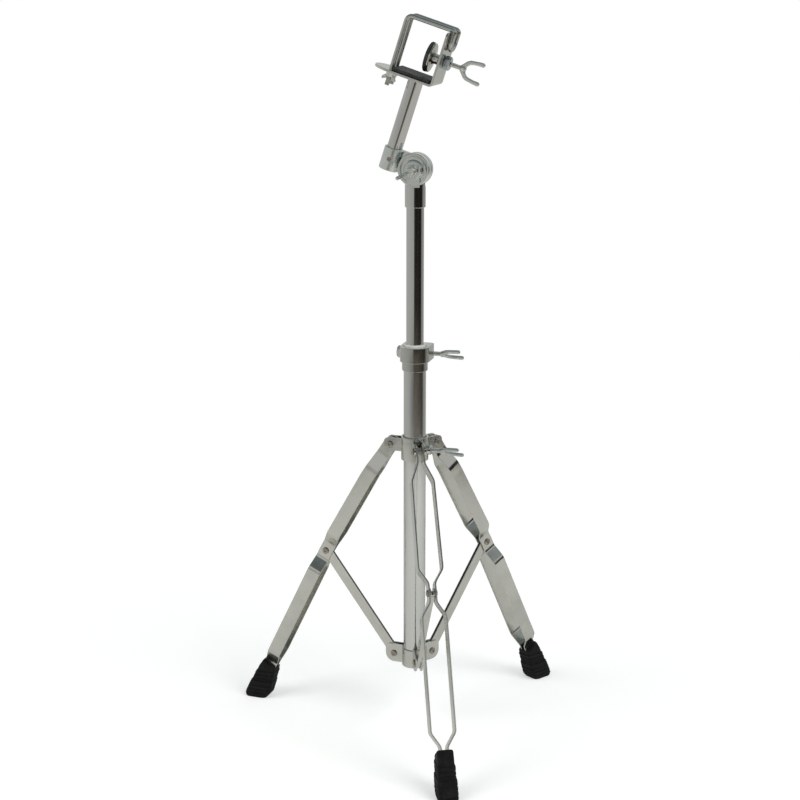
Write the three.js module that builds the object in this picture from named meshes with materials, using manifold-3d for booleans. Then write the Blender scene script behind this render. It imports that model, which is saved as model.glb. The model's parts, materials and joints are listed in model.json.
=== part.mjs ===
// Bongo stand: a folding double-braced tripod, a sliding upper tube, a tilting arm and a clamp head.
// Millimetres, +Z up. The tilting axis lies along Y and the arm leans towards +X.
import * as THREE from "three";
import { mergeVertices } from "three/addons/utils/BufferGeometryUtils.js";
import Module from "manifold-3d";

const wasm = await Module();
wasm.setup();

// Clearances
const gap = 0.3;
const sideGap = 0.6;
const bearingGap = 1;
const overrun = 3;
const weldDistance = 0.0005;

// Facets of round pieces
const tubeFacets = 24;
const boltFacets = 12;
const headFacets = 14;
const cornerFacets = 5;
const bendSteps = 6;

// Tubes
const lowerTubeRadius = 14.3;
const lowerTubeWall = 1.5;
const upperTubeRadius = 11.1;
const upperTubeWall = 1.2;
const tubeTopHeight = 509;
const upperTubeFootHeight = 268;

// Leg linkage, seen from the side: distance from the tube's axis and height above the floor
const hubPivotReach = 31.5;
const hubPivotHeight = 380;
const shoulderReach = 61;
const shoulderHeight = 334.5;
const kneeReach = 123.5;
const kneeHeight = 223.5;
const legEndReach = 217;
const legEndHeight = 31;
const bracePivotReach = 27;
const bracePivotHeight = 91.5;
const frontLegAngle = 25;
const legCount = 3;

// Leg strips: flat steel, pinched together at the hub, the knee and the foot
const legWidth = 18;
const legThickness = 2;
const shoulderSpread = 28;
const legSpread = 30.5;
const topPinchLength = 18;
const topJoggleLength = 23;
const kneePinchLength = 12;
const kneeJoggleLength = 17;
const footPinchLength = 27;

// Braces: channel with its open side up
const braceWidth = 12.5;
const braceThickness = 5.2;
const braceWall = 1.3;

// Rivets
const rivetRadius = 2.5;
const rivetHeadRadius = 4.4;
const rivetHeadHeight = 1.8;
const rivetCrownShare = 0.62;
const rivetRimShare = 0.4;
const shoulderRadius = 4.2;
const tubeRivetRadius = 2;
const tubeRivetHeadRadius = 3.8;

// Rubber feet
const bootDepth = 45.5;
const bootHeight = 57.5;
const bootTopWidth = 21;
const bootSoleWidth = 25.5;
const bootHeelReach = 17.5;

// Hubs
const upperHubTopRise = 12.2;
const upperHubLength = 31;
const upperEarRise = 8.5;
const upperEarDrop = 8.2;
const upperHubWall = 2.3;
const lowerHubTopRise = 11;
const lowerHubLength = 24.5;
const lowerEarRise = 13;
const lowerEarDrop = 11.5;
const lowerHubWall = 1.6;
const lowerHubLip = 1.5;
const earThickness = 2;
const earCornerRadius = 6;
const lockBossDrop = 4.5;
const lockBossRadius = 6.5;
const lockBossLength = 5;

// Wing screws: a forked wing on a threaded shaft
const screwRadius = 3;
const wingSpread = 10;
const wingLength = 26;
const wingBarRadius = 2.3;
const wingFlare = 1.5;
const wingBendShare = 0.95;
const lockShaftLength = 27;
const lockWingTurn = -30;

// Height clamp
const clampRadius = 19;
const clampTopRise = 0.8;
const clampBandHeight = 19.5;
const clampSleeveHeight = 11.5;
const clampSleeveWall = 1.8;
const clampBackDepth = 26;
const clampBoltDepth = 20.8;
const clampBoltDrop = 13;
const clampSlit = 3;
const clampCornerRadius = 4;
const clampNutWidth = 14;
const clampNutThickness = 9;
const clampShaftLength = 11;
const heightWingTurn = -30;
const bushLength = 30;
const bushFlangeHeight = 3.2;
const bushFlangeRadius = 13.6;

// Tilter
const pivotHeight = 733;
const tilterRadius = 20.4;
const tilterDiscThickness = 10;
const tilterBossRadius = 11;
const tilterBossHeight = 4.5;
const tilterSleeveRadius = 13;
const tilterSleeveLength = 25.5;
const tilterSleeveRoof = 2.5;
const tilterNeckRise = 14;
const tilterBoltRadius = 3.9;
const tilterBoltCollarRadius = 7;
const tilterBoltCollarHeight = 4;
const tilterNutWidth = 13;
const tilterNutThickness = 6.5;
const tilterWingTurn = 32;

// Arm
const armLean = 18.1;
const armTubeRadius = 9.6;
const armTubeWall = 1.2;
const socketRadius = 12.3;
const socketTop = 16.5;
const socketFoot = 12;
const socketFloor = 3;
const webTop = 16;
const setScrewRadius = 2.4;
const setScrewHeight = 2.5;
const seatHeight = 104;

// Head bracket: bent plate, seat and back, measured from the arm's axis
const plateThickness = 3;
const headWidth = 50;
const tongueReach = 54;
const backReach = 27;
const backHeight = 67.5;
const bendRadius = 5;
const backCornerRadius = 6;
const clampScrewHeight = 31;

// Hook rod and its wing nuts
const rodRadius = 3;
const rodSpacing = 20;
const rodReach = 31;
const rodTopBend = 7;
const rodBackBend = 3.6;
const rodEndDrop = 17;
const hookEndHeight = 47;
const hookBendShare = 0.98;
const wingNutRadius = 5.2;
const wingNutHeight = 6;
const wingNutReach = 9;
const wingNutDrop = 11;
const wingNutWingRoot = 3;
const wingNutThickness = 2.5;

// Seat pad, pressure plate and clamp screw
const seatPadThickness = 4;
const seatPadWidth = 44;
const seatPadCornerRadius = 2;
const pressureRadius = 18;
const pressureThickness = 2.5;
const pressureRubberRadius = 18.5;
const pressureRubberThickness = 4;
const pressureFaceReach = 5;
const cupRadius = 6.2;
const cupLength = 8;
const cupDepth = 6;
const headNutWidth = 15;
const headNutThickness = 8;
const clampShaftReach = 50;
const clampWingTurn = 90;

// Finishes
const chrome = { color: 0xc9c8c4, roughness: 0.12, metalness: 1 };
const castChrome = { color: 0xb9b8b2, roughness: 0.3, metalness: 1 };
const zinc = { color: 0xa8a69e, roughness: 0.4, metalness: 1 };
const rubber = { color: 0x161616, roughness: 0.75, metalness: 0 };
const nylon = { color: 0xe6e4dc, roughness: 0.5, metalness: 0 };

// Solids
function solidOf(geometry) {
  const bare = geometry.clone();
  bare.deleteAttribute("normal");
  bare.deleteAttribute("uv");
  const merged = mergeVertices(bare, weldDistance);
  const vertProperties = new Float32Array(merged.attributes.position.array);
  const triVerts = new Uint32Array(merged.index.array);
  return new wasm.Manifold(new wasm.Mesh({ numProp: 3, vertProperties, triVerts }));
}

function geometryOf(solid) {
  const mesh = solid.getMesh();
  const geometry = new THREE.BufferGeometry();
  geometry.setAttribute("position", new THREE.BufferAttribute(new Float32Array(mesh.vertProperties), 3));
  geometry.setIndex(new THREE.BufferAttribute(new Uint32Array(mesh.triVerts), 1));
  geometry.computeVertexNormals();
  return geometry;
}

function join(...pieces) {
  return geometryOf(pieces.map(solidOf).reduce((whole, piece) => whole.add(piece)));
}

function cut(body, ...tools) {
  return geometryOf(tools.map(solidOf).reduce((whole, tool) => whole.subtract(tool), solidOf(body)));
}

function common(...pieces) {
  return geometryOf(pieces.map(solidOf).reduce((whole, piece) => whole.intersect(piece)));
}

// Rods, pipes and turned pieces stand along Z between two heights
function rod(radius, low, high, facets = tubeFacets) {
  const geometry = new THREE.CylinderGeometry(radius, radius, high - low, facets);
  return geometry.rotateX(Math.PI / 2).translate(0, 0, (low + high) / 2);
}

function turned(profile, facets) {
  const points = profile.map(([radius, height]) => new THREE.Vector2(radius, height));
  return new THREE.LatheGeometry(points, facets).rotateX(Math.PI / 2);
}

function pipe(outer, inner, low, high, facets = tubeFacets) {
  return turned([[inner, low], [outer, low], [outer, high], [inner, high], [inner, low]], facets);
}

function hexagon(width, low, high) {
  return rod(width / Math.sqrt(3), low, high, 6);
}

function box(lowX, highX, lowY, highY, lowZ, highZ) {
  const geometry = new THREE.BoxGeometry(highX - lowX, highY - lowY, highZ - lowZ);
  return geometry.translate((lowX + highX) / 2, (lowY + highY) / 2, (lowZ + highZ) / 2);
}

// A flat outline drawn in X and Y, extruded between two heights
function plate(shape, low, high, facets = cornerFacets) {
  const depth = high - low;
  const geometry = new THREE.ExtrudeGeometry(shape, { depth, bevelEnabled: false, curveSegments: facets });
  return geometry.translate(0, 0, low);
}

// The outline's Y becomes Z, and the extrusion lies across, along Y
function upright(shape, width, facets = cornerFacets) {
  return plate(shape, -width / 2, width / 2, facets).rotateX(Math.PI / 2);
}

// Turns a piece that stands along Z so that it lies along Y or along X
function alongY(geometry) {
  return geometry.rotateX(-Math.PI / 2);
}

function alongX(geometry) {
  return geometry.rotateY(Math.PI / 2);
}

function outline(points) {
  return new THREE.Shape(points.map(([x, y]) => new THREE.Vector2(x, y)));
}

function roundedRectangle(lowX, highX, lowY, highY, radius) {
  const shape = new THREE.Shape();
  shape.absarc(highX - radius, lowY + radius, radius, -Math.PI / 2, 0);
  shape.absarc(highX - radius, highY - radius, radius, 0, Math.PI / 2);
  shape.absarc(lowX + radius, highY - radius, radius, Math.PI / 2, Math.PI);
  shape.absarc(lowX + radius, lowY + radius, radius, Math.PI, Math.PI * 1.5);
  return shape;
}

// One side of a line, at a distance to its left, with mitred corners
function offsetLine(points, distance) {
  const lines = points.map(([x, y]) => new THREE.Vector2(x, y));
  return lines.map((point, index) => {
    const before = lines[Math.max(index - 1, 0)];
    const after = lines[Math.min(index + 1, lines.length - 1)];
    const arriving = index > 0 ? point.clone().sub(before).normalize() : after.clone().sub(point).normalize();
    const leaving = index < lines.length - 1 ? after.clone().sub(point).normalize() : arriving;
    const middle = arriving.clone().add(leaving).normalize();
    const reach = distance / middle.dot(leaving);
    return [point.x - middle.y * reach, point.y + middle.x * reach];
  });
}

function band(points, width) {
  const left = offsetLine(points, width / 2);
  const right = offsetLine(points, -width / 2).reverse();
  return outline([...right, ...left]);
}

// A rod bent at corners, each corner a point with its bend radius; a straight piece is one step long
class BentRodCurve extends THREE.Curve {
  constructor(corners) {
    super();
    this.pieces = [];
    let start = corners[0].point;
    for (let index = 1; index < corners.length - 1; index += 1) {
      const { point, radius } = corners[index];
      const inward = point.clone().sub(corners[index - 1].point).normalize();
      const outward = corners[index + 1].point.clone().sub(point).normalize();
      const turn = inward.angleTo(outward);
      const setback = radius * Math.tan(turn / 2);
      const bendStart = point.clone().addScaledVector(inward, -setback);
      const bendEnd = point.clone().addScaledVector(outward, setback);
      const side = outward.clone().addScaledVector(inward, -outward.dot(inward)).normalize();
      this.pieces.push({ length: start.distanceTo(bendStart), from: start, to: bendStart });
      this.pieces.push({ length: radius * turn, from: bendStart, inward, side, radius, turn });
      start = bendEnd;
    }
    const end = corners[corners.length - 1].point;
    this.pieces.push({ length: start.distanceTo(end), from: start, to: end });
    this.pieces.forEach((piece) => { piece.steps = piece.radius ? bendSteps : 1; });
    this.steps = this.pieces.reduce((sum, piece) => sum + piece.steps, 0);
    this.total = this.pieces.reduce((sum, piece) => sum + piece.length, 0);
  }

  // Share of the steps to share of the length, so that the bends get most of the steps
  getUtoTmapping(share) {
    let stepsLeft = share * this.steps;
    let length = 0;
    for (const piece of this.pieces) {
      if (stepsLeft <= piece.steps) return (length + piece.length * (stepsLeft / piece.steps)) / this.total;
      stepsLeft -= piece.steps;
      length += piece.length;
    }
    return 1;
  }

  getPoint(share, target = new THREE.Vector3()) {
    const last = this.pieces[this.pieces.length - 1];
    let rest = share * this.total;
    let current = last;
    for (const piece of this.pieces) {
      current = piece;
      if (rest <= piece.length || piece === last) break;
      rest -= piece.length;
    }
    if (current.to) return target.copy(current.from).lerp(current.to, rest / current.length);
    const angle = rest / current.radius;
    return target.copy(current.from)
      .addScaledVector(current.inward, Math.sin(angle) * current.radius)
      .addScaledVector(current.side, (1 - Math.cos(angle)) * current.radius);
  }
}

function bentRod(corners, radius) {
  const section = new THREE.Shape().absarc(0, 0, radius, 0, Math.PI * 2);
  const extrudePath = new BentRodCurve(corners);
  const { steps } = extrudePath;
  return new THREE.ExtrudeGeometry(section, { steps, extrudePath, bevelEnabled: false, curveSegments: 4 });
}

const stand = new THREE.Group();

function add(parent, name, geometry, finish) {
  const mesh = new THREE.Mesh(geometry, new THREE.MeshStandardMaterial(finish));
  mesh.name = name;
  parent.add(mesh);
}

// A wing screw along +X: a shaft from one end to the other, then a fork that opens away from it
function wingScrew(shaftStart, shaftEnd, shaftRadius = screwRadius) {
  const tipX = shaftEnd + wingLength;
  const tipY = wingSpread + wingFlare;
  const corners = [
    { point: new THREE.Vector3(tipX, tipY, 0) },
    { point: new THREE.Vector3(shaftEnd + wingBarRadius, wingSpread, 0), radius: wingSpread * wingBendShare },
    { point: new THREE.Vector3(shaftEnd + wingBarRadius, -wingSpread, 0), radius: wingSpread * wingBendShare },
    { point: new THREE.Vector3(tipX, -tipY, 0) },
  ];
  const shaft = alongX(rod(shaftRadius, shaftStart, shaftEnd + wingBarRadius, boltFacets));
  return join(shaft, bentRod(corners, wingBarRadius));
}

// A rivet along Z, round heads outside the grip, with a thicker shoulder between the plates if it has one
function rivet(grip, radius, headRadius, shoulderHalf = 0) {
  const seat = grip + gap;
  const crown = seat + rivetHeadHeight;
  const rim = seat + rivetHeadHeight * rivetRimShare;
  const upper = [[radius, seat], [headRadius, seat], [headRadius, rim], [headRadius * rivetCrownShare, crown]];
  const shoulder = [[radius, shoulderHalf], [shoulderRadius, shoulderHalf]];
  const half = shoulderHalf > 0 ? [...shoulder.reverse(), ...upper] : upper;
  const lower = half.map(([x, z]) => [x, -z]).reverse();
  return turned([[0, -crown], ...lower, ...half, [0, crown]], boltFacets);
}

// Distances across a leg, from its middle plane
const stripInner = braceThickness / 2 + sideGap;
const stripPinch = stripInner + legThickness / 2;
const stripOuter = stripInner + legThickness;
const upperEarInner = stripOuter + gap;
const upperEarOuter = upperEarInner + earThickness;
const lowerEarInner = braceThickness / 2 + gap;
const lowerEarOuter = lowerEarInner + earThickness;
const rivetHole = rivetRadius + gap;

// A leg's straight chord, from the hub pivot to its end, carries the pinches and joggles
const chord = new THREE.Vector2(legEndReach - hubPivotReach, legEndHeight - hubPivotHeight);
const chordLength = chord.length();
const chordDirection = chord.clone().normalize();
const kneePlace = new THREE.Vector2(kneeReach - hubPivotReach, kneeHeight - hubPivotHeight);
const kneeDistance = kneePlace.dot(chordDirection);
const lowerDirection = new THREE.Vector2(legEndReach - kneeReach, legEndHeight - kneeHeight).normalize();

// The side of a leg strip: a band that bends gently at the shoulder and the knee, with a round top
function legSide() {
  const line = [
    [hubPivotReach, hubPivotHeight],
    [shoulderReach, shoulderHeight],
    [kneeReach, kneeHeight],
    [legEndReach, legEndHeight],
  ];
  const span = (stripOuter + legSpread) * 2;
  const top = alongY(rod(legWidth / 2, -span / 2, span / 2)).translate(hubPivotReach, 0, hubPivotHeight);
  return join(upright(band(line, legWidth), span), top);
}

// The edge of a leg strip: the joggled line that it is pressed to, swept across the leg's width
function legRibbon() {
  const line = [
    [-legWidth, stripPinch],
    [topPinchLength, stripPinch],
    [topPinchLength + topJoggleLength, shoulderSpread / 2],
    [kneeDistance - kneePinchLength - kneeJoggleLength, legSpread / 2],
    [kneeDistance - kneePinchLength, stripPinch],
    [kneeDistance + kneePinchLength, stripPinch],
    [kneeDistance + kneePinchLength + kneeJoggleLength, legSpread / 2],
    [chordLength - footPinchLength - kneeJoggleLength, legSpread / 2],
    [chordLength - footPinchLength, stripPinch],
    [chordLength + legWidth, stripPinch],
  ];
  const along = new THREE.Vector3(chordDirection.x, 0, chordDirection.y);
  const across = new THREE.Vector3(0, 1, 0);
  const outward = new THREE.Vector3().crossVectors(along, across);
  const place = new THREE.Matrix4().makeBasis(along, across, outward);
  place.setPosition(hubPivotReach, 0, hubPivotHeight);
  return plate(band(line, legThickness), -legWidth * 2, legWidth * 2).applyMatrix4(place);
}

// A hole or a pin through a leg, along Y, at a place in the leg's side view
function through(radius, half, [reach, height], facets = boltFacets) {
  return alongY(rod(radius, -half, half, facets)).translate(reach, 0, height);
}

const hubPivot = [hubPivotReach, hubPivotHeight];
const knee = [kneeReach, kneeHeight];
const bracePivot = [bracePivotReach, bracePivotHeight];
const footRivetBack = footPinchLength / 2;
const footRivet = [
  legEndReach - lowerDirection.x * footRivetBack,
  legEndHeight - lowerDirection.y * footRivetBack,
];

function legStrip(side) {
  const half = legSpread + overrun;
  const holes = [hubPivot, knee, footRivet].map((place) => through(rivetHole, half, place));
  const strip = cut(common(legSide(), legRibbon()), ...holes);
  return side > 0 ? strip : geometryOf(solidOf(strip).mirror([0, 1, 0]));
}

// A brace: channel of sheet steel, round at both ends, open along its upper side
function brace() {
  const run = new THREE.Vector2(kneeReach - bracePivotReach, kneeHeight - bracePivotHeight);
  const length = run.length();
  const radius = braceWidth / 2;
  const shape = new THREE.Shape();
  shape.absarc(0, 0, radius, Math.PI / 2, Math.PI * 1.5);
  shape.absarc(length, 0, radius, -Math.PI / 2, Math.PI / 2);
  const inside = braceThickness / 2 - braceWall;
  const reach = radius + overrun;
  const trough = box(-reach, length + reach, -inside, inside, braceWall - radius, reach);
  const footHole = through(rivetHole, reach, [0, 0]);
  const kneeHole = through(rivetRadius + bearingGap, reach, [length, 0]);
  const channel = cut(upright(shape, braceThickness), trough, footHole, kneeHole);
  return channel.rotateY(-Math.atan2(run.y, run.x)).translate(bracePivotReach, 0, bracePivotHeight);
}

// A rubber foot: a boot with a flat sole and a heel, slipped over the pinched end of the leg
const bootLowReach = legEndReach - bootHeelReach;
const bootProfileShares = [[0.36, 1], [0, 0.75], [0.22, 0.11], [0.43, 0], [0.9, 0], [1, 0.09], [0.53, 0.8]];
const bootFrontShares = [[-1, 0.06], [-0.9, 0], [0.9, 0], [1, 0.06]];

function boot() {
  const profile = bootProfileShares.map(([x, z]) => [bootLowReach + x * bootDepth, z * bootHeight]);
  const sole = bootFrontShares.map(([y, z]) => [y * bootSoleWidth / 2, z * bootHeight]);
  const topHalf = bootTopWidth / 2;
  const blockTop = bootHeight + overrun;
  const front = outline([...sole, [topHalf, blockTop], [-topHalf, blockTop]]);
  const side = upright(outline(profile), bootSoleWidth + overrun);
  const frontBlock = plate(front, 0, legEndReach + bootDepth).rotateX(Math.PI / 2).rotateZ(Math.PI / 2);
  const angle = Math.atan2(lowerDirection.x, -lowerDirection.y);
  const halfWidth = legWidth / 2 + gap;
  const halfThickness = stripOuter + gap;
  const socket = box(-halfWidth, halfWidth, -halfThickness, halfThickness, -gap, bootHeight);
  socket.rotateY(-angle).translate(legEndReach, 0, legEndHeight);
  return cut(common(side, frontBlock), socket);
}

// A hub: a collar with a pair of ears for each leg
function ears(pivot, rise, drop, inner, outer) {
  const [reach, height] = pivot;
  const tip = reach + drop;
  const shape = new THREE.Shape();
  shape.moveTo(0, height - drop);
  shape.absarc(reach, height, drop, -Math.PI / 2, 0);
  shape.absarc(tip - earCornerRadius, height + rise - earCornerRadius, earCornerRadius, 0, Math.PI / 2);
  shape.lineTo(0, height + rise);
  const pair = upright(shape, outer * 2);
  const slot = box(-overrun, tip + overrun, -inner, inner, height - drop - overrun, height + rise + overrun);
  return cut(pair, slot, through(rivetHole, outer + overrun, pivot));
}

function legTurns() {
  const turns = [];
  for (let index = 0; index < legCount; index += 1) {
    const degrees = frontLegAngle - 90 - index * (360 / legCount);
    turns.push(THREE.MathUtils.degToRad(degrees));
  }
  return turns;
}

const lockTurn = THREE.MathUtils.degToRad(frontLegAngle - 90 + 180 / legCount);
const rearTurn = THREE.MathUtils.degToRad(frontLegAngle + 90);
const upperHubBore = lowerTubeRadius + bearingGap;
const upperHubRadius = upperHubBore + upperHubWall;
const upperHubTop = hubPivotHeight + upperHubTopRise;
const lockHeight = hubPivotHeight - lockBossDrop;

function upperHub() {
  const pairs = legTurns().map((turn) => (
    ears(hubPivot, upperEarRise, upperEarDrop, upperEarInner, upperEarOuter).rotateZ(turn)
  ));
  const collar = rod(upperHubRadius, upperHubTop - upperHubLength, upperHubTop);
  const bossEnd = upperHubRadius + lockBossLength;
  const boss = alongX(rod(lockBossRadius, 0, bossEnd, headFacets)).translate(0, 0, lockHeight);
  const thread = alongX(rod(screwRadius + gap, 0, bossEnd + overrun, boltFacets)).translate(0, 0, lockHeight);
  const bore = rod(upperHubBore, upperHubTop - upperHubLength - overrun, upperHubTop + overrun);
  return cut(join(collar, boss.rotateZ(lockTurn), ...pairs), bore, thread.rotateZ(lockTurn));
}

const lowerHubBore = lowerTubeRadius + gap;
const lowerHubRadius = lowerHubBore + lowerHubWall;
const lowerHubTop = bracePivotHeight + lowerHubTopRise;
const lowerHubFoot = lowerHubTop - lowerHubLength;
const tubeFootHeight = lowerHubFoot + lowerHubLip + gap;
const tubeRivetHeight = (lowerHubFoot + lowerHubTop) / 2;

function tubeRivetHole() {
  const hole = alongX(rod(tubeRivetRadius + gap, 0, lowerHubRadius + overrun, boltFacets));
  return hole.translate(0, 0, tubeRivetHeight).rotateZ(rearTurn);
}

function lowerHub() {
  const pairs = legTurns().map((turn) => (
    ears(bracePivot, lowerEarRise, lowerEarDrop, lowerEarInner, lowerEarOuter).rotateZ(turn)
  ));
  const collar = rod(lowerHubRadius, lowerHubFoot, lowerHubTop);
  const bore = rod(lowerHubBore, tubeFootHeight - gap, lowerHubTop + overrun);
  const mouth = rod(lowerTubeRadius - lowerTubeWall, lowerHubFoot - overrun, lowerHubTop);
  return cut(join(collar, ...pairs), bore, mouth, tubeRivetHole());
}

// The rivet that holds the lower hub on the tube: its head is outside, its end is inside the tube
function tubeRivet() {
  const start = lowerTubeRadius - lowerTubeWall;
  const seat = lowerHubRadius + gap;
  const crown = seat + rivetHeadHeight;
  const profile = [[0, start], [tubeRivetRadius, start], [tubeRivetRadius, seat], [tubeRivetHeadRadius, seat]];
  const head = [[tubeRivetHeadRadius * rivetCrownShare, crown], [0, crown]];
  const pin = alongX(turned([...profile, ...head], boltFacets));
  return pin.translate(0, 0, tubeRivetHeight).rotateZ(rearTurn);
}

// Lower tube and its hub
const lowerTube = pipe(lowerTubeRadius, lowerTubeRadius - lowerTubeWall, tubeFootHeight, tubeTopHeight);
add(stand, "lower_tube", cut(lowerTube, tubeRivetHole()), chrome);
add(stand, "lower_hub", lowerHub(), castChrome);
add(stand, "hub_rivet", tubeRivet(), zinc);
add(stand, "upper_hub", upperHub(), castChrome);

// The screw that locks the upper hub on the tube
const lockShaftReach = upperHubRadius + lockBossLength + lockShaftLength - wingLength / 2;
const lockScrew = wingScrew(lowerTubeRadius + sideGap, lockShaftReach);
lockScrew.rotateX(THREE.MathUtils.degToRad(lockWingTurn)).rotateZ(lockTurn);
add(stand, "leg_lock_screw", lockScrew.translate(0, 0, lockHeight), zinc);

// Legs, each with its own brace, foot and rivets
const hubGrip = upperEarOuter;
const kneeGrip = stripOuter;
const braceGrip = lowerEarOuter;
const stripShoulder = stripInner - gap;
const legNames = ["front", "left", "right"];
legTurns().forEach((turn, index) => {
  const leg = new THREE.Group();
  leg.rotation.z = turn;
  stand.add(leg);
  const name = legNames[index];
  const hubRivet = alongY(rivet(hubGrip, rivetRadius, rivetHeadRadius, stripShoulder));
  const kneeRivet = alongY(rivet(kneeGrip, rivetRadius, rivetHeadRadius));
  const braceRivet = alongY(rivet(braceGrip, rivetRadius, rivetHeadRadius));
  const flush = turned([
    [0, -stripOuter],
    [rivetRadius, -stripOuter],
    [rivetRadius, -stripShoulder],
    [shoulderRadius, -stripShoulder],
    [shoulderRadius, stripShoulder],
    [rivetRadius, stripShoulder],
    [rivetRadius, stripOuter],
    [0, stripOuter],
  ], boltFacets);
  add(leg, `${name}_strip_a`, legStrip(1), chrome);
  add(leg, `${name}_strip_b`, legStrip(-1), chrome);
  add(leg, `${name}_brace`, brace(), chrome);
  add(leg, `${name}_foot`, boot(), rubber);
  add(leg, `${name}_hub_rivet`, hubRivet.translate(hubPivotReach, 0, hubPivotHeight), zinc);
  add(leg, `${name}_knee_rivet`, kneeRivet.translate(kneeReach, 0, kneeHeight), zinc);
  add(leg, `${name}_brace_rivet`, braceRivet.translate(bracePivotReach, 0, bracePivotHeight), zinc);
  add(leg, `${name}_foot_rivet`, alongY(flush).translate(footRivet[0], 0, footRivet[1]), zinc);
});

// Height clamp: a cast collar on the top of the lower tube, split at the back and drawn shut by a screw
const clampTopHeight = tubeTopHeight + clampTopRise;
const clampBore = lowerTubeRadius + gap;
const clampBandFoot = clampTopHeight - clampBandHeight;
const clampFoot = clampBandFoot - clampSleeveHeight;
const clampBoltHeight = clampTopHeight - clampBoltDrop;

function heightClamp() {
  const lugs = plate(
    roundedRectangle(-clampRadius, clampRadius, -clampCornerRadius, clampBackDepth, clampCornerRadius),
    clampBandFoot,
    clampTopHeight,
  );
  const ring = rod(clampRadius, clampBandFoot, clampTopHeight);
  const sleeve = rod(clampBore + clampSleeveWall, clampFoot, clampTopHeight);
  const bore = rod(clampBore, clampFoot - overrun, clampTopHeight + overrun);
  const depth = clampBackDepth + overrun;
  const slit = box(-clampSlit / 2, clampSlit / 2, 0, depth, clampFoot - overrun, clampTopHeight + overrun);
  const hole = alongX(rod(screwRadius + gap, -clampRadius - overrun, clampRadius + overrun, boltFacets));
  return cut(join(lugs, ring, sleeve), bore, slit, hole.translate(0, clampBoltDepth, clampBoltHeight));
}

const clampNutSeat = -clampRadius - gap;
const clampNut = cut(
  hexagon(clampNutWidth, clampNutSeat - clampNutThickness, clampNutSeat),
  rod(screwRadius + gap, clampNutSeat - clampNutThickness - overrun, clampNutSeat + overrun, boltFacets),
);
const clampScrew = wingScrew(clampNutSeat - clampNutThickness - gap, clampRadius + clampShaftLength);
clampScrew.rotateX(THREE.MathUtils.degToRad(heightWingTurn));
add(stand, "height_clamp", heightClamp(), castChrome);
add(stand, "height_clamp_nut", alongX(clampNut).translate(0, clampBoltDepth, clampBoltHeight), zinc);
add(stand, "height_clamp_screw", clampScrew.translate(0, clampBoltDepth, clampBoltHeight), zinc);

// Nylon bush: it lies in the mouth of the lower tube and its flange rests on the tube's end
const bushInner = upperTubeRadius + gap;
const bushOuter = lowerTubeRadius - lowerTubeWall - gap;
const bushSeat = tubeTopHeight + gap;
const bush = turned([
  [bushInner, tubeTopHeight - bushLength],
  [bushOuter, tubeTopHeight - bushLength],
  [bushOuter, bushSeat],
  [bushFlangeRadius, bushSeat],
  [bushFlangeRadius, bushSeat + bushFlangeHeight],
  [bushInner, bushSeat + bushFlangeHeight],
  [bushInner, tubeTopHeight - bushLength],
], tubeFacets);
add(stand, "tube_bush", bush, nylon);

// Upper tube, up to the roof of the tilter's sleeve
const sleeveTop = pivotHeight - tilterRadius - bearingGap;
const sleeveFoot = sleeveTop - tilterSleeveLength;
const upperTubeTop = sleeveTop - tilterSleeveRoof - gap;
const upperTube = pipe(upperTubeRadius, upperTubeRadius - upperTubeWall, upperTubeFootHeight, upperTubeTop);
add(stand, "upper_tube", upperTube, chrome);

// Tilter base: the sleeve on the upper tube and the near disc
function tilterBase() {
  const discEnd = gap + tilterDiscThickness;
  const disc = alongY(rod(tilterRadius, -discEnd, -gap)).translate(0, 0, pivotHeight);
  const bossEnd = discEnd + tilterBossHeight;
  const boss = alongY(rod(tilterBossRadius, -bossEnd, -discEnd + gap, headFacets)).translate(0, 0, pivotHeight);
  const sleeve = rod(tilterSleeveRadius, sleeveFoot, sleeveTop);
  const neckTop = sleeveTop + tilterNeckRise;
  const half = tilterSleeveRadius + overrun;
  const neck = common(
    rod(tilterSleeveRadius, sleeveTop - gap, neckTop),
    box(-half, half, -discEnd, -gap, sleeveFoot, neckTop + overrun),
  );
  const bore = rod(upperTubeRadius + gap, sleeveFoot - overrun, sleeveTop - tilterSleeveRoof);
  const hole = alongY(rod(tilterBoltRadius + gap, -bossEnd - overrun, overrun, boltFacets));
  return cut(join(disc, boss, sleeve, neck), bore, hole.translate(0, 0, pivotHeight));
}

add(stand, "tilter_base", tilterBase(), castChrome);

// Tilter screw with its wing towards the front, and the nut behind
const tilterFront = gap + tilterDiscThickness + tilterBossHeight + gap;
const tilterBack = gap + tilterDiscThickness + gap;
const tilterNutBack = tilterBack + tilterNutThickness;
const tilterCollar = rod(tilterBoltCollarRadius, tilterFront, tilterFront + tilterBoltCollarHeight, headFacets);
const tilterScrew = join(
  wingScrew(-tilterNutBack, tilterFront + tilterBoltCollarHeight + wingBarRadius, tilterBoltRadius),
  alongX(tilterCollar),
);
tilterScrew.rotateX(THREE.MathUtils.degToRad(tilterWingTurn)).rotateZ(-Math.PI / 2);
add(stand, "tilter_screw", tilterScrew.translate(0, 0, pivotHeight), zinc);

// Everything beyond the tilting axis leans with the arm
const arm = new THREE.Group();
arm.position.z = pivotHeight;
arm.rotation.y = THREE.MathUtils.degToRad(armLean);
stand.add(arm);

const tilterNut = cut(
  hexagon(tilterNutWidth, tilterBack, tilterNutBack),
  rod(tilterBoltRadius + gap, tilterBack - overrun, tilterNutBack + overrun, boltFacets),
);
add(arm, "tilter_nut", alongY(tilterNut), zinc);

// Tilter arm: the far disc, and beside the discs the socket that holds the arm tube
const armOffset = tilterRadius + gap + socketRadius;

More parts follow.
